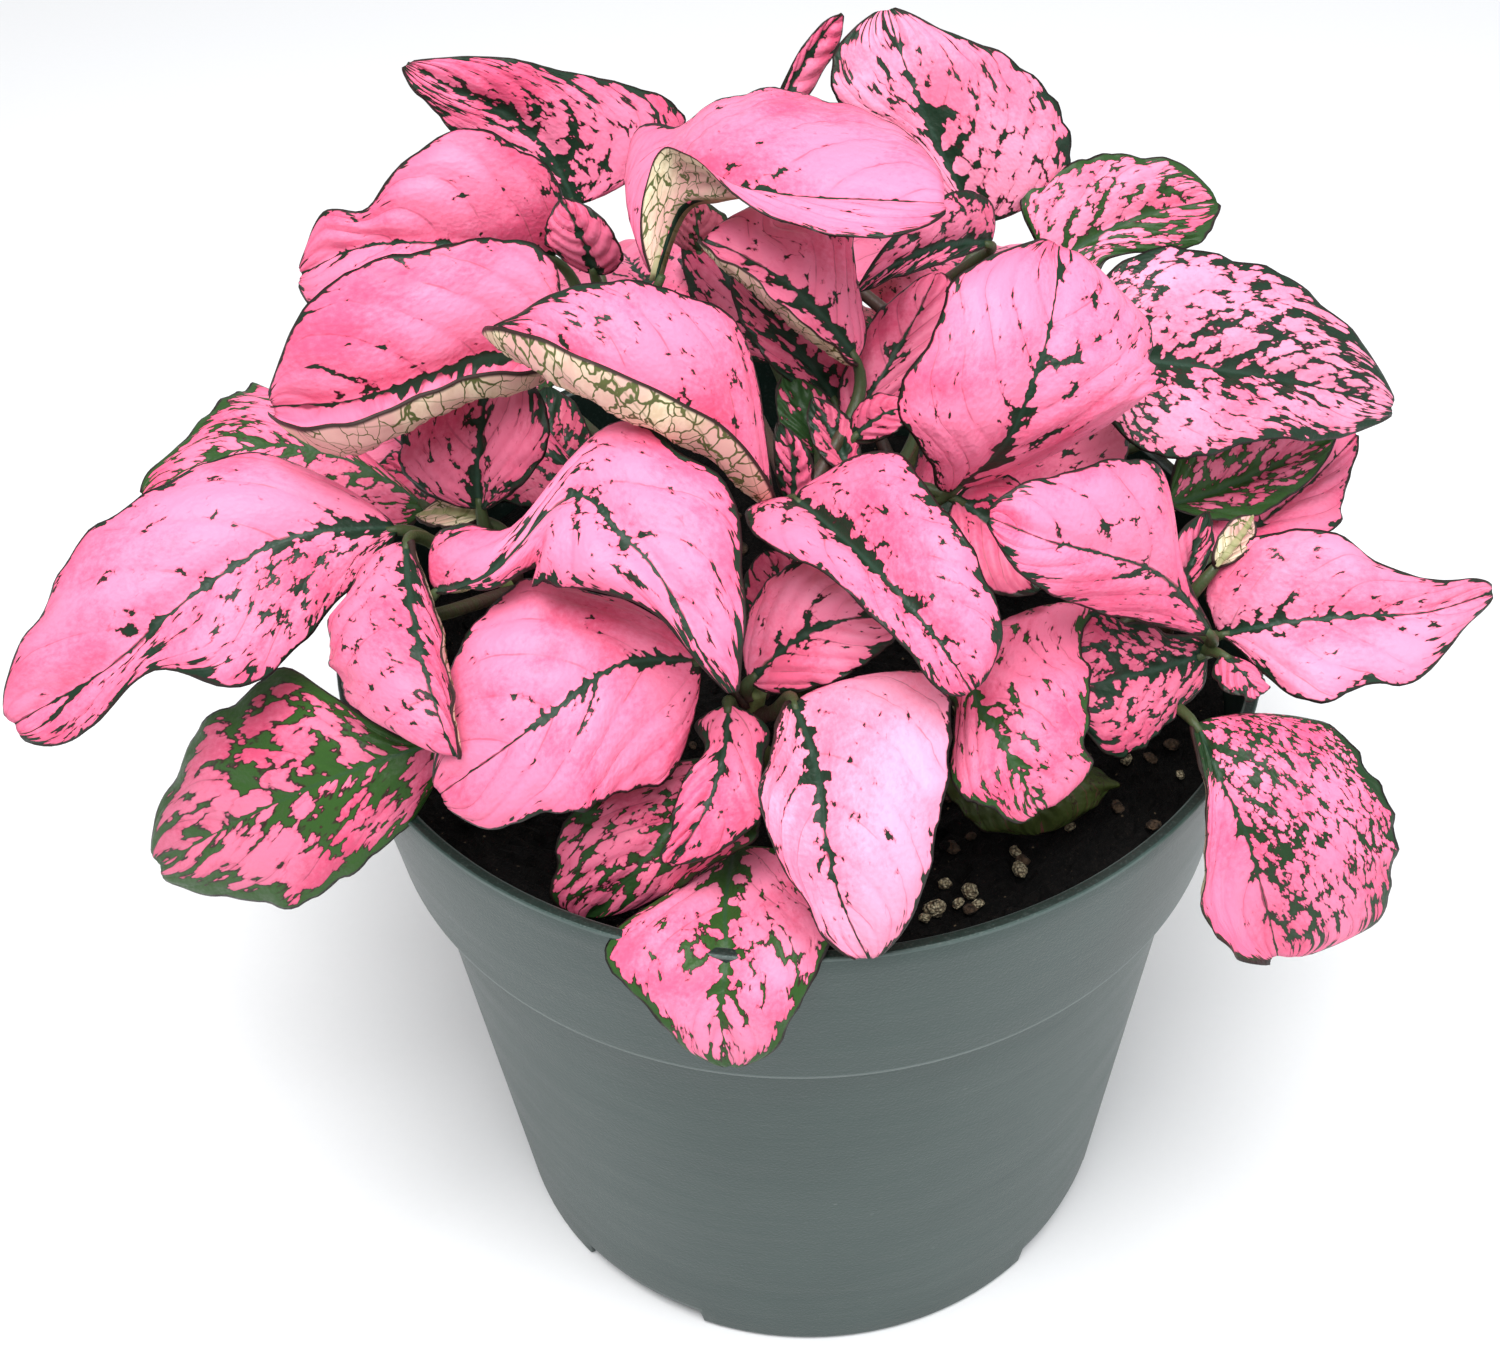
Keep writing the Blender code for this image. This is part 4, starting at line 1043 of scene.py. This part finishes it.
def outer_profile():
    """Underside, tapered body, step, collar and rolled rim, from the axis to the top."""
    profile = [(0.01, RECESS), (RECESS_RADIUS - 1, RECESS)]
    profile += wall_line((RECESS_RADIUS, 0.0), (BASE_RADIUS - FOOT_ROUND, 0.0), 2.5)
    profile += arc((BASE_RADIUS - FOOT_ROUND, FOOT_ROUND), FOOT_ROUND, -90, 0, 5)[1:]
    profile += wall_line((BASE_RADIUS, FOOT_ROUND), (BODY_TOP_RADIUS, COLLAR_FOOT - STEP_ROUND), 3.0)[1:]
    profile += arc((BODY_TOP_RADIUS + STEP_ROUND, COLLAR_FOOT - STEP_ROUND), STEP_ROUND, 180, 90, 4)[1:]
    profile += arc((COLLAR_FOOT_RADIUS - COLLAR_ROUND, COLLAR_FOOT + COLLAR_ROUND), COLLAR_ROUND, -90, 0, 5)
    profile += wall_line((COLLAR_FOOT_RADIUS, COLLAR_FOOT + COLLAR_ROUND),
                         (RIM_RADIUS, POT_HEIGHT - RIM_ROUND), 2.5)[1:]
    return profile + arc((RIM_RADIUS - RIM_ROUND, POT_HEIGHT - RIM_ROUND), RIM_ROUND, 0, 90, 4)[1:]


def inner_profile():
    """Lip, inside wall and floor, from the top to the axis."""
    ledge = COLLAR_FOOT + WALL
    lip = inner_radius(POT_HEIGHT)
    profile = arc((lip + LIP_ROUND, POT_HEIGHT - LIP_ROUND), LIP_ROUND, 90, 180, 5)
    profile += wall_line((lip - 0.02, POT_HEIGHT - LIP_ROUND - 0.1),
                         (inner_radius(ledge + 0.01), ledge), 3.0)[1:]
    profile += wall_line((inner_radius(ledge - 0.01), ledge), (inner_radius(FLOOR + 1), FLOOR + 1), 8.0)
    return profile + [(inner_radius(FLOOR) - 1, FLOOR), (0.01, FLOOR)]


def apart(angles, angle):
    """Degrees between directions."""
    return np.abs((angles - angle + 180) % 360 - 180)


def pot_angles():
    """Even turns round the pot, with a close pair at each side of a notch instead."""
    angles = set(np.round(np.arange(0, 360, 2.25), 3))
    for middle in NOTCH_ANGLES:
        for side in (-1, 1):
            edge = (middle + side * NOTCH_HALF_ANGLE) % 360
            angles -= {angle for angle in angles if apart(angle, edge) < 1.2}
            angles |= {round(edge - 0.35, 3), round(edge + 0.35, 3)}
    return np.array(sorted(angles))


def make_pot(materials):
    """Thin-walled pot in one skin, its foot raised over each drain notch."""
    outer = outer_profile()
    profile = outer + inner_profile()
    angles = pot_angles()
    notched = np.min([apart(angles, middle) for middle in NOTCH_ANGLES], axis=0) < NOTCH_HALF_ANGLE
    points = []
    for r, z in profile:
        foot = r > NOTCH_INNER_RADIUS - 0.5 and z < NOTCH_HEIGHT and (z < FLOOR or r > inner_radius(z) + 0.5)
        for angle, cut in zip(angles, notched):
            height = max(z, NOTCH_HEIGHT - 0.25) if foot and cut else z
            points.append((r * cos(radians(angle)), r * sin(radians(angle)), height))
    faces = grid_faces(len(profile), len(angles), closed=True)
    # the outside takes the first material; the rim's top, the inside wall and the floor take the second, the
    # same plastic darker as painted shade
    outside = (len(outer) - 1) * len(angles)
    kinds = [0] * outside + [1] * (len(faces) - outside)
    place(add_mesh("pot.look", points, faces, materials, kinds), "pot")


# ---------------------------------------------------------------- soil

def lumpy(rng, x, y):
    """Height of the crumbs at a place, from a few scattered waves."""
    total = np.zeros_like(x)
    for size, height in ((11, 0.5), (5.5, 0.4), (2.8, 0.34), (1.5, 0.26)):
        for _ in range(5):
            a, p = rng.uniform(0, 2 * pi, 2)
            k = 2 * pi / (size * rng.uniform(0.8, 1.25))
            total += height / 2.2 * np.sin(k * (x * cos(a) + y * sin(a)) + p)
    return total


def crumb_surface(rng, edge):
    """Points and faces of the crumbly top, with a short skirt and a closed underside."""
    radii = edge * np.linspace(0, 1, SOIL_RINGS + 1)[1:] ** 0.75
    turns, r = np.meshgrid(np.arange(SOIL_SIDES) * 2 * pi / SOIL_SIDES, radii)
    x, y = r * np.cos(turns), r * np.sin(turns)
    crumbs = 0.66 * lumpy(rng, x, y) + 0.36 * rng.uniform(-1, 1, x.shape)
    calm = 0.35 + 0.65 * np.clip((edge - r) / 3.0, 0, 1)
    z = SOIL_TOP - 0.3 + SOIL_CROWN * (1 - (r / edge) ** 2) + crumbs * calm
    z = np.minimum(z, SOIL_TOP + SOIL_CROWN + 0.9)
    points = list(np.stack([x, y, z], -1).reshape(-1, 3))
    skirt = len(points)
    points += [(edge * cos(turn), edge * sin(turn), SOIL_TOP - 4) for turn in turns[0]]
    points += [(0, 0, SOIL_TOP + 0.4), (0, 0, SOIL_TOP - 4)]
    top, bottom = skirt + SOIL_SIDES, skirt + SOIL_SIDES + 1
    faces = grid_faces(SOIL_RINGS + 1, SOIL_SIDES, closed=True, flip=True)
    neighbours = [(i, (i + 1) % SOIL_SIDES) for i in range(SOIL_SIDES)]
    faces += [(after, i, top) for i, after in neighbours]
    faces += [(skirt + i, skirt + after, bottom) for i, after in neighbours]
    return points, faces


def lump_points(rng, x, y, size, squash):
    """One rounded, uneven bit resting on the crumbs."""
    turn = rng.uniform(0, 2 * pi)
    middle = SOIL_TOP + 0.55 + size * squash * 0.35
    points = []
    for i in range(LUMP_ROWS):
        polar = pi * i / (LUMP_ROWS - 1)
        for k in range(LUMP_SIDES):
            a = 2 * pi * k / LUMP_SIDES
            r = size * rng.uniform(0.8, 1.12)
            long, wide = r * sin(polar) * cos(a), 0.75 * r * sin(polar) * sin(a)
            points.append((x + long * cos(turn) - wide * sin(turn), y + long * sin(turn) + wide * cos(turn),
                           middle + squash * r * cos(polar)))
    return points


def make_soil(materials, rng):
    """Crumbly surface just inside the pot, with perlite and bark bits lying on it."""
    edge = inner_radius(SOIL_TOP) - CLEARANCE
    points, faces = crumb_surface(rng, edge)
    kinds = [PEAT] * len(faces)

    def add_lump(x, y, size, squash, kind):
        lump = tube_faces(LUMP_ROWS, LUMP_SIDES, len(points), flip=False)
        points.extend(lump_points(rng, x, y, size, squash))
        faces.extend(lump)
        kinds.extend([kind] * len(lump))

    for _ in range(LUMPS):
        r, a = edge * rng.uniform(0.05, 0.93) ** 0.6, rng.uniform(0, 2 * pi)
        pick = rng.uniform()
        least, most, squash, kind = next(row[1:] for row in LUMP_KINDS if pick < row[0])
        add_lump(r * cos(a), r * sin(a), rng.uniform(least, most), squash, kind)
    for x, y, size in PERLITE:
        add_lump(x, y, size, 0.8, WHITE)
    place(add_mesh("soil.look", points, faces, materials, kinds), "soil")


# ---------------------------------------------------------------- stage

def make_floor():
    corners = [(x * FLOOR_REACH, y * FLOOR_REACH, 0) for x, y in ((-1, -1), (1, -1), (1, 1), (-1, 1))]
    floor = add_mesh("floor", corners, [(0, 1, 2, 3)], [floor_paper()])


def area_light(name, position, aim, size, power, colour):
    data = bpy.data.lights.new(name, "AREA")
    data.shape = "DISK"
    data.size = size * MM
    data.energy = power
    data.color = colour
    lamp = link(name, data)
    lamp.location = Vector(position) * MM
    lamp.rotation_euler = (Vector(aim) - Vector(position)).to_track_quat("-Z", "Y").to_euler()


def make_lights():
    world = bpy.data.worlds.new("studio")
    bpy.context.scene.world = world
    world.use_nodes = True
    back = world.node_tree.nodes["Background"]
    back.inputs["Color"].default_value = (0.97, 0.98, 1.0, 1)
    back.inputs["Strength"].default_value = 0.52
    area_light("key", (-40, -200, 700), aim=(0, 0, 60), size=520, power=6.7, colour=(1.0, 0.99, 0.98))
    area_light("fill", (420, -200, 330), aim=(0, 0, 80), size=380, power=0.8, colour=(0.95, 0.98, 1.0))


def make_camera():
    data = bpy.data.cameras.new("camera")
    data.sensor_width = 36
    data.lens = CAMERA_LENS
    data.clip_start, data.clip_end = 0.01, 10
    camera = link("camera", data)
    position, aim = Vector(CAMERA_POSITION), Vector(CAMERA_AIM)
    view = (aim - position).to_track_quat("-Z", "Y").to_matrix().to_4x4()
    roll = Matrix.Rotation(radians(CAMERA_ROLL), 4, "Z")
    camera.matrix_world = Matrix.Translation(position * MM) @ view @ roll
    bpy.context.scene.camera = camera


# ---------------------------------------------------------------- all of it

def make_leaves(rng):
    """The frame's leaves, then the young ones, which only ride along."""
    stalk = stalk_skin("stalk_skin", (0.055, 0.026, 0.022), (0.040, 0.062, 0.020))
    materials = [leaf_face(), leaf_back(), stalk]
    for row in LEAVES:
        place(Leaf(rng, *row).make(materials), row[0])
    for row in YOUNG:
        young = Leaf(rng, *row).make(materials)
        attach(young, "root")


def main():
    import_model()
    rng = np.random.default_rng(7)
    make_leaves(rng)
    stem_skin = stalk_skin("stem_skin", (0.10, 0.10, 0.04), (0.16, 0.20, 0.07))
    for stem in STEMS:
        make_stem(stem_skin, stem)
    # the second plastic is the first one darker: painted shade for the rim's top and the pot's inside
    make_pot([pot_plastic("pot_plastic", (0.016, 0.038, 0.033), (0.024, 0.049, 0.043)),
              pot_plastic("pot_plastic_painted_shade", (0.004, 0.012, 0.009), (0.007, 0.018, 0.014))])
    make_soil([soil_mix(), grit_skin("perlite", (0.42, 0.34, 0.20), (0.70, 0.62, 0.42), 1.6),
               grit_skin("bark", (0.03, 0.018, 0.010), (0.10, 0.06, 0.035), 1.0)], rng)
    make_floor()
    make_lights()
    make_camera()
    bpy.context.scene.view_settings.view_transform = "Standard"


main()
